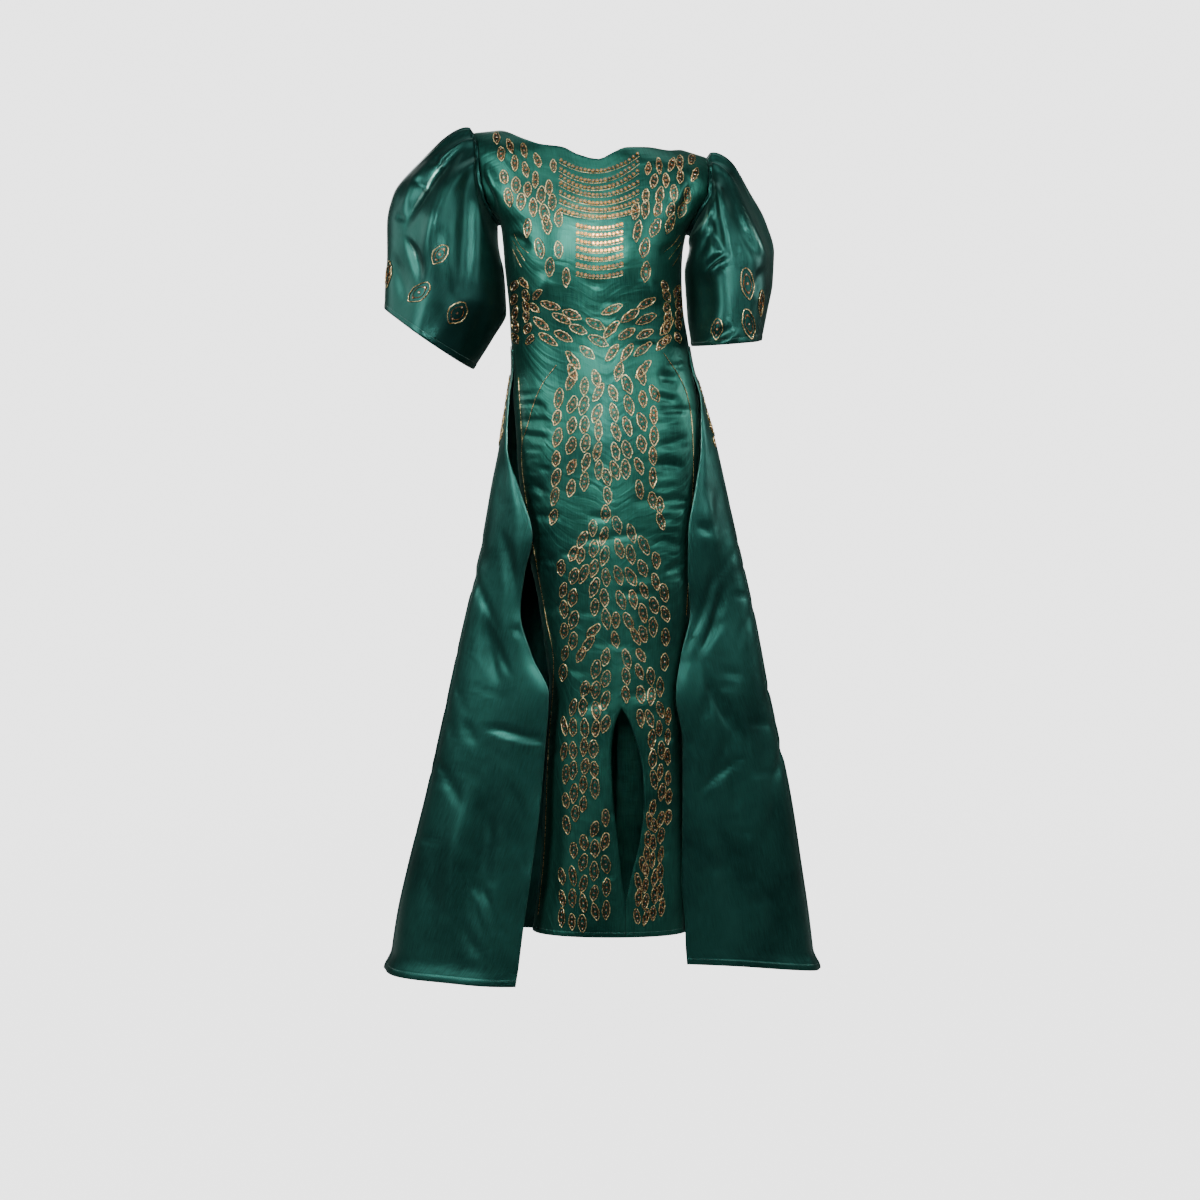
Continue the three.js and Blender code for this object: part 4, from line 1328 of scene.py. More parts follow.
class Finish(Enum):
    """Every finish in the scene."""

    DRESS = Satin("dress_satin", (0.004, 0.040, 0.031, 1), (0.018, 0.114, 0.084, 1), 0.34)
    # Same satin as the dress, in darker colours: painted shade on the sleeves.
    SLEEVES = Satin("sleeve_satin", (0.005, 0.032, 0.027, 1), (0.012, 0.068, 0.054, 1), 0.3, (16, 9))
    OVERSKIRT = Satin("overskirt_satin", (0.006, 0.038, 0.031, 1), (0.018, 0.098, 0.079, 1), 0.45, (9, 14))
    # The wire's strong dark-to-pale spots are partly uneven tone and partly painted glints.
    WIRE = Metal("gilt_wire", (0.14, 0.06, 0.010, 1), (0.88, 0.69, 0.36, 1), 0.24, 520)
    CUP = Metal("bronze_cups", (0.03, 0.010, 0.004, 1), (0.30, 0.10, 0.025, 1), 0.3)
    GOLD = Metal("gold_cups", (0.10, 0.032, 0.004, 1), (0.62, 0.25, 0.035, 1), 0.24)
    THREAD = Thread("hem_thread", (0.006, 0.045, 0.035, 1), (0.016, 0.09, 0.07, 1))
    CRYSTAL = Crystal("pale_crystal", (0.62, 0.50, 0.30, 1))
    FLOOR = Pale("floor", (0.28, 0.28, 0.28, 1))

    def material(self) -> bpy.types.Material:
        """Return this finish's material, made once."""
        return bpy.data.materials.get(self.value.name) or self.value.make()


# Beadwork


@dataclass(frozen=True)
class Run:
    """A row of leaves, evenly spaced from a start to an end."""

    start: Pair
    end: Pair
    count: int
    size: Pair
    lean: Pair

    def leaves(self) -> list[tuple[float, ...]]:
        """Return x, z, length, width and lean for each leaf."""
        found = []
        for i in range(self.count):
            t = i / max(self.count - 1, 1)
            place = (mix(self.start[0], self.end[0], t), mix(self.start[1], self.end[1], t))
            found.append((*place, *self.size, mix(self.lean[0], self.lean[1], t)))
        return found


def runs(*rows: tuple[float, ...]) -> tuple[Run, ...]:
    """Return runs from rows of the start's and the end's x and z, count, size and lean, if any."""
    return tuple(Run(row[:2], row[2:4], row[4], row[5:7], row[7:] or (0, 0)) for row in rows)


class Sewing:
    """A Geometry Nodes tree that lays flat work on a cloth."""

    from_afar = 0.6
    ray_length = 2.0
    cup_top = 0.84
    cup_height = 0.62
    gem = (0.2, 0.45, 0.34)
    coil = (0.8, 0.26)

    def __init__(self, name: str, sizes: dict[str, float]) -> None:
        """Start the tree and name its inputs.

        Args:
            name: the tree's name.
            sizes: the tree's own sizes, in metres, with their usual values.
        """
        self.group = bpy.data.node_groups.new(name, "GeometryNodeTree")
        self.tree = Tree(self.group)
        face = self.group.interface
        face.new_socket(name="Geometry", in_out="OUTPUT", socket_type="NodeSocketGeometry")
        for key, kind in {"Geometry": "Geometry", "Cloth": "Object", "Centre": "Vector"}.items():
            face.new_socket(name=key, in_out="INPUT", socket_type=f"NodeSocket{kind}")
        for key, value in {"Facing": 0.0, **sizes}.items():
            face.new_socket(name=key, in_out="INPUT", socket_type="NodeSocketFloat").default_value = value
        self.start = self.tree.add("NodeGroupInput")
        self.build()

    def build(self) -> None:
        """Add the nodes between the tree's input and its output."""

    def given(self, name: str) -> Socket:
        """Return one of the tree's inputs."""
        return Socket(self.tree, self.start.outputs[name])

    def close(self, *parts: Socket) -> None:
        """Join the parts and end the tree."""
        joined = self.tree.add("GeometryNodeJoinGeometry")
        for part in parts:
            self.tree.tree.links.new(part.socket, joined.inputs[0])
        whole = self.chain(Socket(self.tree, joined.outputs[0]), "RealizeInstances")
        self.tree.add("NodeGroupOutput", {0: whole})

    def chain(self, work: Socket, kind: str, values: dict | None = None, **settings: Any) -> Socket:
        """Return work after one more geometry node.

        Args:
            work: the geometry, which goes in first.
            kind: the node's type, without its prefix.
            values: the node's other inputs.
            settings: its properties.

        Returns:
            The new geometry.
        """
        return self.tree.get(f"GeometryNode{kind}", {0: work, **(values or {})}, **settings)

    def stored(self, name: str, kind: str) -> Socket:
        """Return an attribute of the points."""
        return self.tree.get("GeometryNodeInputNamedAttribute", {"Name": name}, data_type=kind)

    def towards(self, direction: Socket) -> Socket:
        """Return the rotation that turns up to a direction."""
        return self.tree.get("FunctionNodeAlignRotationToVector", {"Vector": direction}, axis="Z")

    def cone(self, sides: int, top: Value, bottom: Value, depth: Value) -> Socket:
        """Return a cut-off cone."""
        sizes = {"Vertices": sides, "Radius Top": top, "Radius Bottom": bottom, "Depth": depth}
        return self.tree.get("GeometryNodeMeshCone", sizes)

    def hit(self) -> tuple[Socket, Socket]:
        """Return where flat work meets the cloth, and the cloth's normal there."""
        tree = self.tree
        spin = {"Angle": self.given("Facing")}
        flat = {"Vector": tree.get("GeometryNodeInputPosition"), **spin}
        turned = tree.get("ShaderNodeVectorRotate", flat, rotation_type="Z_AXIS")
        ray = tree.get("ShaderNodeVectorRotate", {"Vector": (0, 1, 0), **spin}, rotation_type="Z_AXIS")
        source = tree.vector("ADD", turned, self.given("Centre"))
        source = tree.vector("SUBTRACT", source, tree.scaled(ray, self.from_afar))
        cloth = tree.get("GeometryNodeObjectInfo", {"Object": self.given("Cloth")}, "Geometry")
        aim = {"Source Position": source, "Ray Direction": ray, "Ray Length": self.ray_length}
        cast = tree.add("GeometryNodeRaycast", {"Target Geometry": cloth, **aim})
        return Socket(tree, cast.outputs["Hit Position"]), Socket(tree, cast.outputs["Hit Normal"])

    def laid(self, work: Socket, lift: Value) -> Socket:
        """Return flat work moved on to the cloth, with its middle lifted off it."""
        place, normal = self.hit()
        place = self.tree.vector("ADD", place, self.tree.scaled(normal, lift))
        return self.chain(work, "SetPosition", {"Position": place})

    def coiled(self, curve: Socket, radius: Value, sides: int, finish: Finish = Finish.WIRE) -> Socket:
        """Return a coiled wire along a curve."""
        tree = self.tree
        thin, more = self.coil
        thick = thin + more * tree.math("FLOORED_MODULO", tree.get("GeometryNodeInputIndex"), 2)
        curve = self.chain(curve, "SetCurveRadius", {"Radius": thick})
        profile = tree.get("GeometryNodeCurvePrimitiveCircle", {"Resolution": sides, "Radius": radius})
        values = {"Curve": curve, "Profile Curve": profile, "Fill Caps": True}
        tube = tree.add("GeometryNodeCurveToMesh", values)
        if "Scale" in tube.inputs:
            tree.tree.links.new(thick.socket, tube.inputs["Scale"])
        return self.finished(self.chain(Socket(tree, tube.outputs[0]), "SetShadeSmooth"), finish)

    def finished(self, work: Socket, finish: Finish) -> Socket:
        """Return work with its material set."""
        return self.chain(work, "SetMaterial", {"Material": finish.material()})

    def studs(self, points: Socket, radius: Value, sides: int = 6, cup: Finish = Finish.CUP) -> list[Socket]:
        """Return cups with cut crystals in them, set on the cloth at points.

        Args:
            points: flat points.
            radius: the cup's radius.
            sides: how many sides each has.
            cup: the cups' finish.

        Returns:
            The cups and the crystals.
        """
        place, normal = self.hit()
        bend = {"Name": "bend", "Value": self.towards(normal)}
        turned = self.chain(points, "StoreNamedAttribute", bend, data_type="QUATERNION", domain="POINT")
        kept = self.chain(turned, "SetPosition", {"Position": place})
        sizes = {2: 0.9, 3: 1.1, "Seed": 5}
        size = self.tree.get("FunctionNodeRandomValue", sizes, 1, data_type="FLOAT")
        height = radius * self.cup_height
        base = self.cone(sides, radius * self.cup_top, radius, height)
        top, bottom, depth = (radius * share for share in self.gem)
        gem = self.cone(sides, top, bottom, depth)
        gem = self.chain(gem, "Transform", {"Translation": self.tree.spread(Z=height)})
        made = []
        for shape, finish in ((base, cup), (gem, Finish.CRYSTAL)):
            values = {"Instance": shape, "Rotation": self.stored("bend", "QUATERNION"), "Scale": size}
            made.append(self.finished(self.chain(kept, "InstanceOnPoints", values), finish))
        return made

    def sew(self, name: str, flat: bpy.types.Mesh, cloth: Piece, sizes: dict | None = None) -> Piece:
        """Lay flat work on a cloth.

        Args:
            name: the new piece's name.
            flat: the flat work's points, in metres.
            cloth: the finished cloth.
            sizes: inputs that differ from the usual ones.

        Returns:
            The new piece, a plain mesh.
        """
        draft = placed(f"{name}_draft", flat)
        modifier = draft.modifiers.new("sewing", "NODES")
        modifier.node_group = self.group
        chosen = {"Cloth": cloth, **(sizes or {})}
        for item in self.group.interface.items_tree:
            if item.in_out == "INPUT" and item.name in chosen:
                modifier[item.identifier] = chosen[item.name]
        bpy.context.view_layer.update()
        graph = bpy.context.evaluated_depsgraph_get()
        mesh = bpy.data.meshes.new_from_object(draft.evaluated_get(graph))
        bpy.data.objects.remove(draft)
        for key in ("bend", "turn", "length", "width"):
            if key in mesh.attributes:
                mesh.attributes.remove(mesh.attributes[key])
        return placed(name, mesh)


class LeafSewing(Sewing):
    """Leaves outlined twice in coiled wire, with three studs in each."""

    sides = 34
    shake = 0.0040
    taper = (0.62, 1.1)
    fullness = 1.14
    rings = ((1.0, 5, Finish.WIRE), (0.6, 4, Finish.CUP))
    eyes = {"Count": 3, "Start Location": (0, 0, -0.27), "Offset": (0, 0, 0.30)}

    def build(self) -> None:
        """Outline each leaf, then set its studs."""
        tree = self.tree
        points = self.given("Geometry")
        length, width, turn = (self.stored(name, "FLOAT") for name in ("length", "width", "turn"))
        rotation = tree.get("FunctionNodeEulerToRotation", {"Euler": tree.spread(Y=turn)})
        placing = {"Rotation": rotation, "Scale": tree.spread(X=width, Y=1.0, Z=length)}

        circle = tree.get("GeometryNodeCurvePrimitiveCircle", {"Resolution": self.sides, "Radius": 0.5})
        here = tree.add("ShaderNodeSeparateXYZ", {0: tree.get("GeometryNodeInputPosition")})
        across, up = Socket(tree, here.outputs["X"]), Socket(tree, here.outputs["Y"])
        blunt, sharper = self.taper
        taper = tree.math("ABSOLUTE", across * 2) ** (blunt - up * sharper)
        outline = tree.spread(X=across * taper * self.fullness, Z=up)
        leaf = self.chain(circle, "SetPosition", {"Position": outline})
        wire = self.given("Wire")
        outlines = []
        for share, sides, finish in self.rings:
            part = self.chain(leaf, "Transform", {"Scale": (share, 1, share)})
            part = self.chain(part, "ResampleCurve", {"Count": round(self.sides * share)}, mode="COUNT")
            part = self.chain(points, "InstanceOnPoints", {"Instance": part, **placing})
            part = self.chain(part, "RealizeInstances")
            noise = tree.get("ShaderNodeTexNoise", {"Scale": 150, "Detail": 1}, 1)
            noise = tree.vector("SUBTRACT", noise, (0.5, 0.5, 0.5))
            noise = tree.vector("MULTIPLY", noise, (self.shake, 0, self.shake))
            part = self.chain(part, "SetPosition", {"Offset": noise})
            part = self.laid(part, wire)
            outlines.append(self.coiled(part, wire * share, sides, finish))

        eyes = tree.get("GeometryNodeMeshLine", self.eyes, mode="END_POINTS")
        eyes = self.chain(points, "InstanceOnPoints", {"Instance": eyes, **placing})
        eyes = self.chain(eyes, "RealizeInstances")
        self.close(*outlines, *self.studs(eyes, self.given("Stud")))


class StudSewing(Sewing):
    """Studs at points."""

    def build(self) -> None:
        """Set a stud on each point."""
        self.close(*self.studs(self.given("Geometry"), self.given("Stud"), 8, Finish.GOLD))


class LineSewing(Sewing):
    """Couched wire along lines."""

    pitch = 0.0032

    def build(self) -> None:
        """Follow each line with coiled wire."""
        lines = self.chain(self.given("Geometry"), "MeshToCurve")
        lines = self.chain(lines, "CurveSplineType", spline_type="BEZIER")
        lines = self.chain(lines, "CurveSetHandles", handle_type="AUTO")
        lines = self.chain(lines, "ResampleCurve", {"Length": self.pitch}, mode="LENGTH")
        self.close(self.coiled(self.laid(lines, self.given("Wire")), self.given("Wire"), 5))


class StitchSewing(Sewing):
    """Stitches of thread along a line that lies on the cloth."""

    def build(self) -> None:
        """Set a stitch at every pitch."""
        line = self.chain(self.given("Geometry"), "MeshToCurve")
        line = self.chain(line, "ResampleCurve", {"Length": self.given("Pitch")}, mode="LENGTH")
        thread = self.given("Thread")
        stitch = self.cone(5, thread, thread, self.given("Pitch") * 0.7)
        along = self.towards(self.tree.get("GeometryNodeInputTangent"))
        line = self.chain(line, "InstanceOnPoints", {"Instance": stitch, "Rotation": along})
        self.close(self.finished(line, Finish.THREAD))


@dataclass(frozen=True)
class Beadwork:
    """All the beadwork, laid out by rows as it is seen from the front."""

    seed: int = 21
    uneven: float = 0.13
    stray: float = 2.4
    sway: float = 13
    slit_room: float = 5
    slit_share: float = 0.55
    length: float = 1.08
    width: float = 0.8
    leaf_wire: float = 0.0009
    leaf_stud: float = 0.0024
    strand_stud: float = 0.0029
    strand_wire: float = 0.0006
    line_wire: float = 0.00055
    stitch_pitch: float = 0.0042
    thread: float = 0.0003

    chest = runs(
        (-152, 5, -60, -43, 5, 22, 11, 14, 10), (-141, -22, -67, -76, 5, 23, 12, 12, 8),
        (-137, -60, -59, -99, 5, 24, 14, 8, 4), (-131, -90, -50, -125, 5, 26, 15, 4, 0),
        (-97, -139, -70, -137, 2, 28, 15, 2, 0), (-80, -173, -51, -175, 2, 30, 15, 2, -4),
        (-64, -201, -64, -201, 1, 30, 15), (-38, -222, -38, -222, 1, 30, 14),
        (93, -44, 166, -30, 5, 22, 11, -4, -12), (103, -67, 168, -55, 4, 23, 12, -4, -10),
        (91, -88, 156, -86, 4, 24, 13, 0, -8), (72, -112, 148, -113, 5, 26, 14, 0, -8),
        (75, -144, 130, -136, 3, 29, 15, -16, -20), (86, -174, 86, -174, 1, 31, 15, -8, -8),
        (89, -208, 89, -208, 1, 31, 15, -4, -4),
    )
    waist = runs(
        (-62, -262, 10, -296, 3, 32, 14, 70, 66), (-46, -286, 14, -318, 3, 32, 14, 64, 60),
        (-78, -292, -3, -337, 3, 32, 14, 62, 60), (-66, -320, -26, -350, 2, 32, 14, 52, 48),
        (93, -260, 84, -334, 4, 32, 14, -62, -52), (64, -280, 58, -340, 3, 32, 14, -52, -40),
        (36, -268, 35, -337, 3, 32, 14, -60, -34), (122, -298, 116, -327, 2, 30, 13, -42, -32),
        (-28, -371, 12, -382, 2, 31, 14, 36, 18), (46, -372, 84, -366, 2, 31, 14, -18, -34),
        (-124, -234, -120, -316, 5, 20, 12, -34, 30), (-106, -228, -98, -320, 6, 20, 12, 38, -26),
        (-86, -248, -88, -268, 2, 20, 12, -40, 44), (122, -232, 126, -318, 6, 20, 12, 34, -32),
        (143, -240, 146, -314, 5, 20, 12, -30, 36),
    )
    skirt = runs(
        (13, -404, 14, -528, 5, 29, 15, -16, -10), (-8, -393, -6, -548, 6, 29, 15, -16, -12),
        (-30, -386, -31, -560, 6, 29, 15, -16, -12), (-50, -412, -60, -606, 7, 28, 14, -14, -8),
        (40, -404, 41, -528, 5, 29, 15, 16, 10), (62, -390, 60, -528, 5, 29, 15, 16, 12),
        (84, -376, 82, -560, 6, 29, 15, 16, 12), (104, -408, 104, -576, 6, 28, 14, 14, 8),
        (112, -588, 118, -612, 2, 27, 13, 8, 12), (30, -542, 25, -600, 3, 26, 15, 8, -8),
        (25, -634, 25, -773, 5, 29, 15, -4, -4), (5, -622, 7, -754, 5, 29, 15, -10, -6),
        (-14, -642, -11, -700, 3, 29, 15, -14, -10), (-28, -664, -26, -812, 5, 29, 15, -14, -6),
        (-45, -690, -42, -868, 6, 28, 14, -12, 0), (47, -618, 50, -741, 4, 29, 15, 8, 26),
        (69, -630, 70, -740, 4, 29, 15, 12, 20), (88, -654, 88, -799, 5, 29, 15, 14, 10),
        (106, -676, 106, -790, 4, 29, 15, 14, 8), (122, -730, 124, -848, 4, 28, 14, 10, 4),
        (43, -776, 43, -808, 2, 28, 15, 0, 0), (6, -792, -14, -836, 3, 30, 15, -35, -30),
        (64, -776, 82, -832, 3, 28, 14, 30, 20),
    )
    low = runs(
        (27, -836, 24, -946, 4, 30, 15, -12, -4), (9, -858, 8, -1056, 7, 30, 15, -10, 0),
        (-9, -890, -10, -1086, 7, 29, 14, -8, 0), (-26, -922, -26, -1103, 6, 29, 13, -6, 2),
        (-41, -956, -40, -1122, 5, 28, 12, -4, 4), (62, -840, 60, -900, 3, 29, 14, 24, 10),
        (80, -862, 84, -938, 3, 29, 14, 14, 8), (99, -868, 104, -1046, 6, 29, 14, 10, 0),
        (115, -890, 118, -1066, 6, 29, 12, 8, 0), (129, -940, 130, -1112, 6, 27, 11, 4, 0),
        (25, -1106, 29, -1262, 5, 30, 15, -6, 2), (7, -1124, 9, -1268, 5, 30, 15, -6, 2),
        (-11, -1149, -11, -1286, 5, 29, 14, -4, 2), (-29, -1166, -28, -1287, 4, 29, 13, -4, 4),
        (-45, -1214, -45, -1280, 3, 28, 12, 0, 4), (79, -1186, 79, -1274, 4, 28, 11, 4, 0),
        (92, -1116, 92, -1278, 7, 27, 11, 4, 0), (105, -1092, 106, -1270, 7, 27, 11, 2, -2),
        (119, -1112, 119, -1266, 6, 27, 11, 0, -4),
    )
    sleeve_right = runs(
        (-242, -181, -242, -181, 1, 38, 26, -42, -42), (-276, -243, -276, -243, 1, 38, 27, -46, -46),
        (-215, -274, -215, -274, 1, 38, 27, -38, -38),
    )
    sleeve_left = runs(
        (255, -230, 255, -230, 1, 43, 22, 6, 6), (257, -293, 257, -293, 1, 43, 22, 2, 2),
        (205, -304, 205, -304, 1, 34, 18, -4, -4),
    )
    edge_leaf = runs((0, -214, 0, -214, 1, 38, 24, -10, -10))
    other_edge_leaf = runs((0, -262, 0, -262, 1, 42, 20, 8, 8))
    hip = runs(
        (-8, -398, -2, -486, 5, 20, 11, 4, 0), (8, -388, 14, -470, 5, 20, 11, 0, 4),
    )
    strands = (
        (-46, 77, -32, -22, -49), (-46, 77, -46, -34, -65), (-46, 77, -58, -49, -77),
        (-46, 77, -69, -67, -88), (-46, 77, -83, -82, -101), (-46, 77, -97, -96, -112),
        (-46, 77, -111, -110, -123), (-19, 51, -136, -135, -141), (-19, 51, -148, -147, -152),
        (-19, 51, -160, -159, -165), (-19, 51, -172, -171, -177), (-19, 51, -184, -183, -190),
        (-19, 51, -198, -197, -203), (-19, 51, -212, -211, -217),
    )
    bead: float = 6.6
    past: float = 3
    under: float = 4.1
    lines = (
        ((-54, -359), (-80, -396), (-105, -468), (-111, -486), (-103, -600), (-88, -690), (-72, -781),
         (-61, -839), (-61, -884), (-70, -1007), (-78, -1189), (-88, -1289)),
        ((120, -340), (150, -386), (162, -420), (169, -484), (165, -677), (160, -774)),
        ((-117, -380), (-114, -430), (-111, -484)),
        ((-122, -148), (-112, -168), (-98, -180)), ((-124, -160), (-114, -176), (-104, -192)),
        ((-124, -174), (-117, -188), (-110, -202)),
        ((146, -150), (134, -166), (120, -178)), ((148, -162), (138, -176), (127, -190)),
        ((149, -176), (142, -188), (134, -200)),
    )

    def points(self, name: str, rows: Sequence[Run], shift: int = 0) -> bpy.types.Mesh:
        """Return the flat points of runs of leaves, a little uneven.

        Args:
            name: the mesh's name.
            rows: the rows of leaves.
            shift: added to the seed.

        Returns:
            A mesh of loose points that carry each leaf's size and turn.
        """
        leaves = np.array([leaf for row in rows for leaf in row.leaves()], float)
        chance = np.random.default_rng(self.seed + shift)
        count = len(leaves)
        leaves[:, :2] += chance.uniform(-self.stray, self.stray, (count, 2))
        change = chance.uniform(1 - self.uneven, 1 + self.uneven, (count, 2))
        leaves[:, 2:4] *= change * (self.length, self.width)
        leaves[:, 4] += chance.uniform(-self.sway, self.sway, count)
        leaves[:, 0] = self.clear_of_slit(*leaves[:, :4].T)
        mesh = wires(name, [(x * MM, 0.0, z * MM) for x, z in leaves[:, :2]])
        for column, key, scale in ((2, "length", MM), (3, "width", MM), (4, "turn", -math.pi / 180)):
            mesh.attributes.new(key, "FLOAT", "POINT").data.foreach_set("value", leaves[:, column] * scale)
        return mesh

    def clear_of_slit(self, x: Array, z: Array, length: Array, width: Array) -> Array:
        """Return the leaves' x, moved so that none hangs over the slit.

        Args:
            x: the leaves' middles across.
            z: the leaves' middles up.
            length: their lengths.
            width: their widths.

        Returns:
            The new x of each.
        """
        spans = [z + share * length for share in (-0.5, 0, 0.5)]
        right = np.min([Dress.slit.read("right", span) for span in spans], axis=0)
        left = np.max([Dress.slit.read("left", span) for span in spans], axis=0)
        room = width * self.slit_share + self.slit_room
        beside = np.where(x < (right + left) / 2, np.minimum(x, right - room), np.maximum(x, left + room))
        return np.where(z - length / 2 < Dress.slit_top, beside, x)

    def strand_points(self) -> tuple[bpy.types.Mesh, bpy.types.Mesh]:
        """Return the strands' beads, and the lines couched under them."""
        beads, lines, joins = [], [], []
        for left, right, left_z, right_z, middle_z in self.strands:
            count = round((right - left) / self.bead) + 1
            for i in range(count):
                t = i / (count - 1)
                sag = middle_z - (left_z + right_z) / 2
                z = mix(left_z, right_z, t) + sag * (1 - (2 * t - 1) ** 2)
                beads.append((mix(left, right, t) * MM, 0.0, z * MM))
                if i:
                    joins.append((len(lines) - 1, len(lines)))
                lines.append((mix(left - self.past, right + self.past, t) * MM, 0.0, (z - self.under) * MM))
        return wires("strand_beads", beads), wires("strand_lines", lines, joins)

    def line_points(self) -> bpy.types.Mesh:
        """Return the long couched lines."""
        places, joins = [], []
        for line in self.lines:
            for i, (x, z) in enumerate(line):
                if i:
                    joins.append((len(places) - 1, len(places)))
                places.append((x * MM, 0.0, z * MM))
        return wires("couched_lines", places, joins)

    def hem_line(self, name: str, points: Array, closed: bool) -> bpy.types.Mesh:
        """Return a hem's stitch line as a mesh."""
        joins = [(i, (i + 1) % len(points)) for i in range(len(points) - (not closed))]
        return wires(name, [tuple(p * MM) for p in points], joins)

    def sew(self, cloths: dict[str, Piece], hems: dict[str, Array]) -> dict[str, list[Piece]]:
        """Sew everything on.

        Args:
            cloths: the finished cloth pieces by name.
            hems: their hems' stitch lines by name.

        Returns:
            The new pieces that are sewn on each.
        """
        leaf = LeafSewing("leaf_sewing", {"Wire": self.leaf_wire, "Stud": self.leaf_stud})
        stud = StudSewing("stud_sewing", {"Stud": self.strand_stud})
        line = LineSewing("line_sewing", {"Wire": self.strand_wire})
        beads, under = self.strand_points()
        front = cloths["front"]
        made = {name: [] for name in cloths}
        for i, name in enumerate(("chest", "waist", "skirt", "low")):
            flat = self.points(f"{name}_plan", getattr(self, name), i)
            made["front"].append(leaf.sew(f"{name}_leaves", flat, front))
        made["front"].append(stud.sew("chest_strands", beads, front))
        made["front"].append(line.sew("strand_wires", under, front))
        made["front"].append(line.sew("couched_wires", self.line_points(), front, {"Wire": self.line_wire}))
        apart = (
            ("sleeve_right", "right_sleeve_leaves", self.sleeve_right, (0, 0), 0),
            ("sleeve_left", "left_sleeve_leaves", self.sleeve_left, (0, 0), 0),
            ("sleeve_right", "right_sleeve_edge_leaf", self.edge_leaf, (-0.3, -0.02), -50),
            ("sleeve_left", "left_sleeve_edge_leaf", self.other_edge_leaf, (0.262, -0.06), 34),
            ("overskirt_right", "right_hip_leaves", self.hip, (-0.134, 0.0), -52),
            ("overskirt_left", "left_hip_leaves", self.hip, (0.186, 0.0), 52),
        )
        for i, (cloth, name, rows, centre, facing) in enumerate(apart):
            sizes = {"Centre": (*centre, 0.0), "Facing": math.radians(facing)}
            flat = self.points(f"{name}_plan", rows, 10 + i)
            made[cloth].append(leaf.sew(name, flat, cloths[cloth], sizes))
        stitch = StitchSewing("stitch_sewing", {"Pitch": self.stitch_pitch, "Thread": self.thread})
        for name, points in hems.items():
            path = self.hem_line(f"{name}_hem_line", points, name.startswith("sleeve"))
            made[name].append(stitch.sew(f"{name}_hem_stitches", path, cloths[name]))
        for piece in (p for pieces in made.values() for p in pieces):
            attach(piece, "root")
            LOG.info("%s: %d faces", piece.name, len(piece.data.polygons))
        return made


# The room


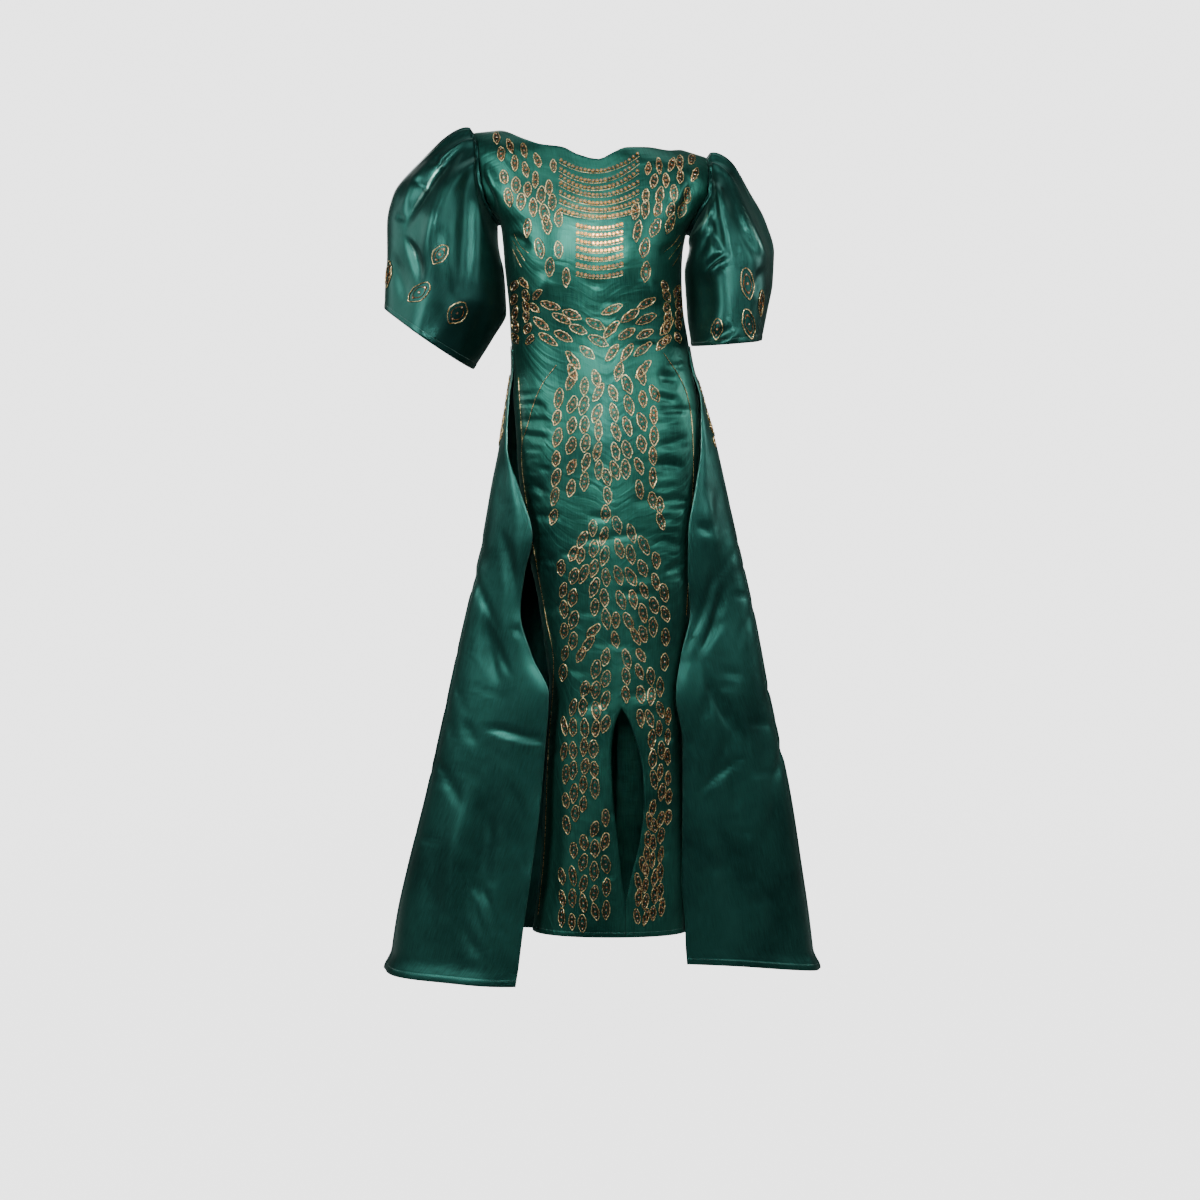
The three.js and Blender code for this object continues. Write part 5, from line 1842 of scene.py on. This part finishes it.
@dataclass(frozen=True)
class Studio:
    """Plain floor, soft lights and the camera."""

    floor_z: float = -1.539
    floor_radius: float = 14
    chest: Triple = (0.0, 0.0, -0.3)
    camera_at: Triple = (0.0168, -3.7, -0.2875)
    pitch: float = 7.2
    lens: float = 66.39
    sensor: float = 36
    air: Colour = (0.84, 0.84, 0.84, 1)
    air_seen: float = 3.7
    haze: Colour = (0.8, 0.82, 0.84, 1)
    haze_light: float = 0.06

    lights = (
        ("key", (-2.2, -1.7, 0.45), (0.8, 1.5), 78),
        ("left", (-2.7, 0.35, 0.25), (0.7, 1.2), 18),
        ("front", (-0.15, -3.2, 0.55), (0.5, 1.0), 6, 36),
        ("fill", (2.3, -2.1, 0.5), (1.0, 1.5), 46),
        ("right", (2.7, 0.25, 0.25), (0.7, 1.2), 32),
        ("top", (0.2, 0.4, 2.4), (2.0, 1.4), 26),
        ("behind", (-0.8, 3.2, 0.7), (2.0, 2.0), 46),
    )

    def floor(self) -> None:
        """Lay the floor."""
        shape = {"vertices": 96, "radius": self.floor_radius, "fill_type": "NGON"}
        bpy.ops.mesh.primitive_circle_add(**shape, location=(0, 0, self.floor_z))
        floor = bpy.context.object
        floor.name = "floor"
        floor.data.materials.append(Finish.FLOOR.material())

    def light(self, name: str, at: Triple, size: Pair, power: float, spread: float = 180) -> None:
        """Hang one soft light that faces the gown's chest.

        Args:
            name: the light's name.
            at: where it hangs, in metres.
            size: its width and height.
            power: its strength in watts.
            spread: how wide it shines, in degrees.
        """
        data = bpy.data.lights.new(name, "AREA")
        data.spread = math.radians(spread)
        data.shape = "RECTANGLE"
        data.size, data.size_y = size
        data.energy = power
        lamp = placed(name, data)
        lamp.location = at
        lamp.rotation_euler = (Vector(self.chest) - Vector(at)).to_track_quat("-Z", "Y").to_euler()

    def world(self) -> None:
        """Make the air pale to the eye and dimmer as a light."""
        world = bpy.data.worlds.new("studio")
        world.use_nodes = True
        tree = Tree(world.node_tree)
        pale = tree.get("ShaderNodeBackground", {"Color": self.air, "Strength": self.air_seen})
        dim = tree.get("ShaderNodeBackground", {"Color": self.haze, "Strength": self.haze_light})
        seen = tree.get("ShaderNodeLightPath", out="Is Camera Ray")
        tree.add("ShaderNodeOutputWorld", {"Surface": tree.mixed(seen, dim, pale)})
        bpy.context.scene.world = world

    def camera(self) -> None:
        """Set the camera as the photo has it."""
        data = bpy.data.cameras.new("camera")
        data.lens = self.lens
        data.sensor_width = self.sensor
        camera = placed("camera", data)
        camera.location = self.camera_at
        camera.rotation_euler = (math.radians(90 - self.pitch), 0, 0)
        bpy.context.scene.camera = camera

    def build(self) -> None:
        """Build the room."""
        self.floor()
        for light in self.lights:
            self.light(*light)
        self.world()
        self.camera()


@dataclass(frozen=True)
class Cut:
    """What a cloth piece stands for and how it was cut, in metres."""

    node: str
    slot: str
    finish: Finish
    flat: Pair
    area: float
    held: str

    def declare(self, piece: Piece, sewn_on: Sequence[Piece]) -> None:
        """Give a finished piece its finish, hang it under the root, hide the part it stands for and log its
        counts.
        """
        piece.data.materials.clear()
        piece.data.materials.append(self.finish.material())
        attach(piece, "root")
        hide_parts(self.node)
        LOG.info("%s: %d faces, %d pieces sewn on", piece.name, len(piece.data.polygons), len(sewn_on))


CUTS = (
    Cut("front", "satin_dress", Finish.DRESS, (0.47, 1.38), 0.52, "hung"),
    Cut("back_left", "satin_dress", Finish.DRESS, (0.25, 1.37), 0.25, "hung"),
    Cut("sleeve_left", "satin_sleeves", Finish.SLEEVES, (0.62, 0.34), 0.16, "gathered"),
    Cut("overskirt_left", "satin_overskirt", Finish.OVERSKIRT, (0.80, 1.12), 0.60, "hung"),
    Cut("back_right", "satin_dress", Finish.DRESS, (0.25, 1.37), 0.25, "hung"),
    Cut("sleeve_right", "satin_sleeves", Finish.SLEEVES, (0.66, 0.38), 0.19, "gathered"),
    Cut("overskirt_right", "satin_overskirt", Finish.OVERSKIRT, (0.80, 1.12), 0.60, "hung"),
)


def main() -> None:
    """Build every piece in order, then the room."""
    logging.basicConfig(level=logging.INFO, format="%(message)s")
    dress = Dress()
    panels = {"front": dress.front()}
    for side in ("left", "right"):
        panels[f"back_{side}"] = dress.back(side)
        panels[f"sleeve_{side}"] = Sleeve(side=side).make()
        panels[f"overskirt_{side}"] = Overskirt(side=side).make()
    cloths = {name: piece for name, (piece, _) in panels.items()}
    sewn = Beadwork().sew(cloths, {name: line for name, (_, line) in panels.items()})
    for cut in CUTS:
        cut.declare(cloths[cut.node], sewn[cut.node])
    Studio().build()


if __name__ == "__main__":
    main()
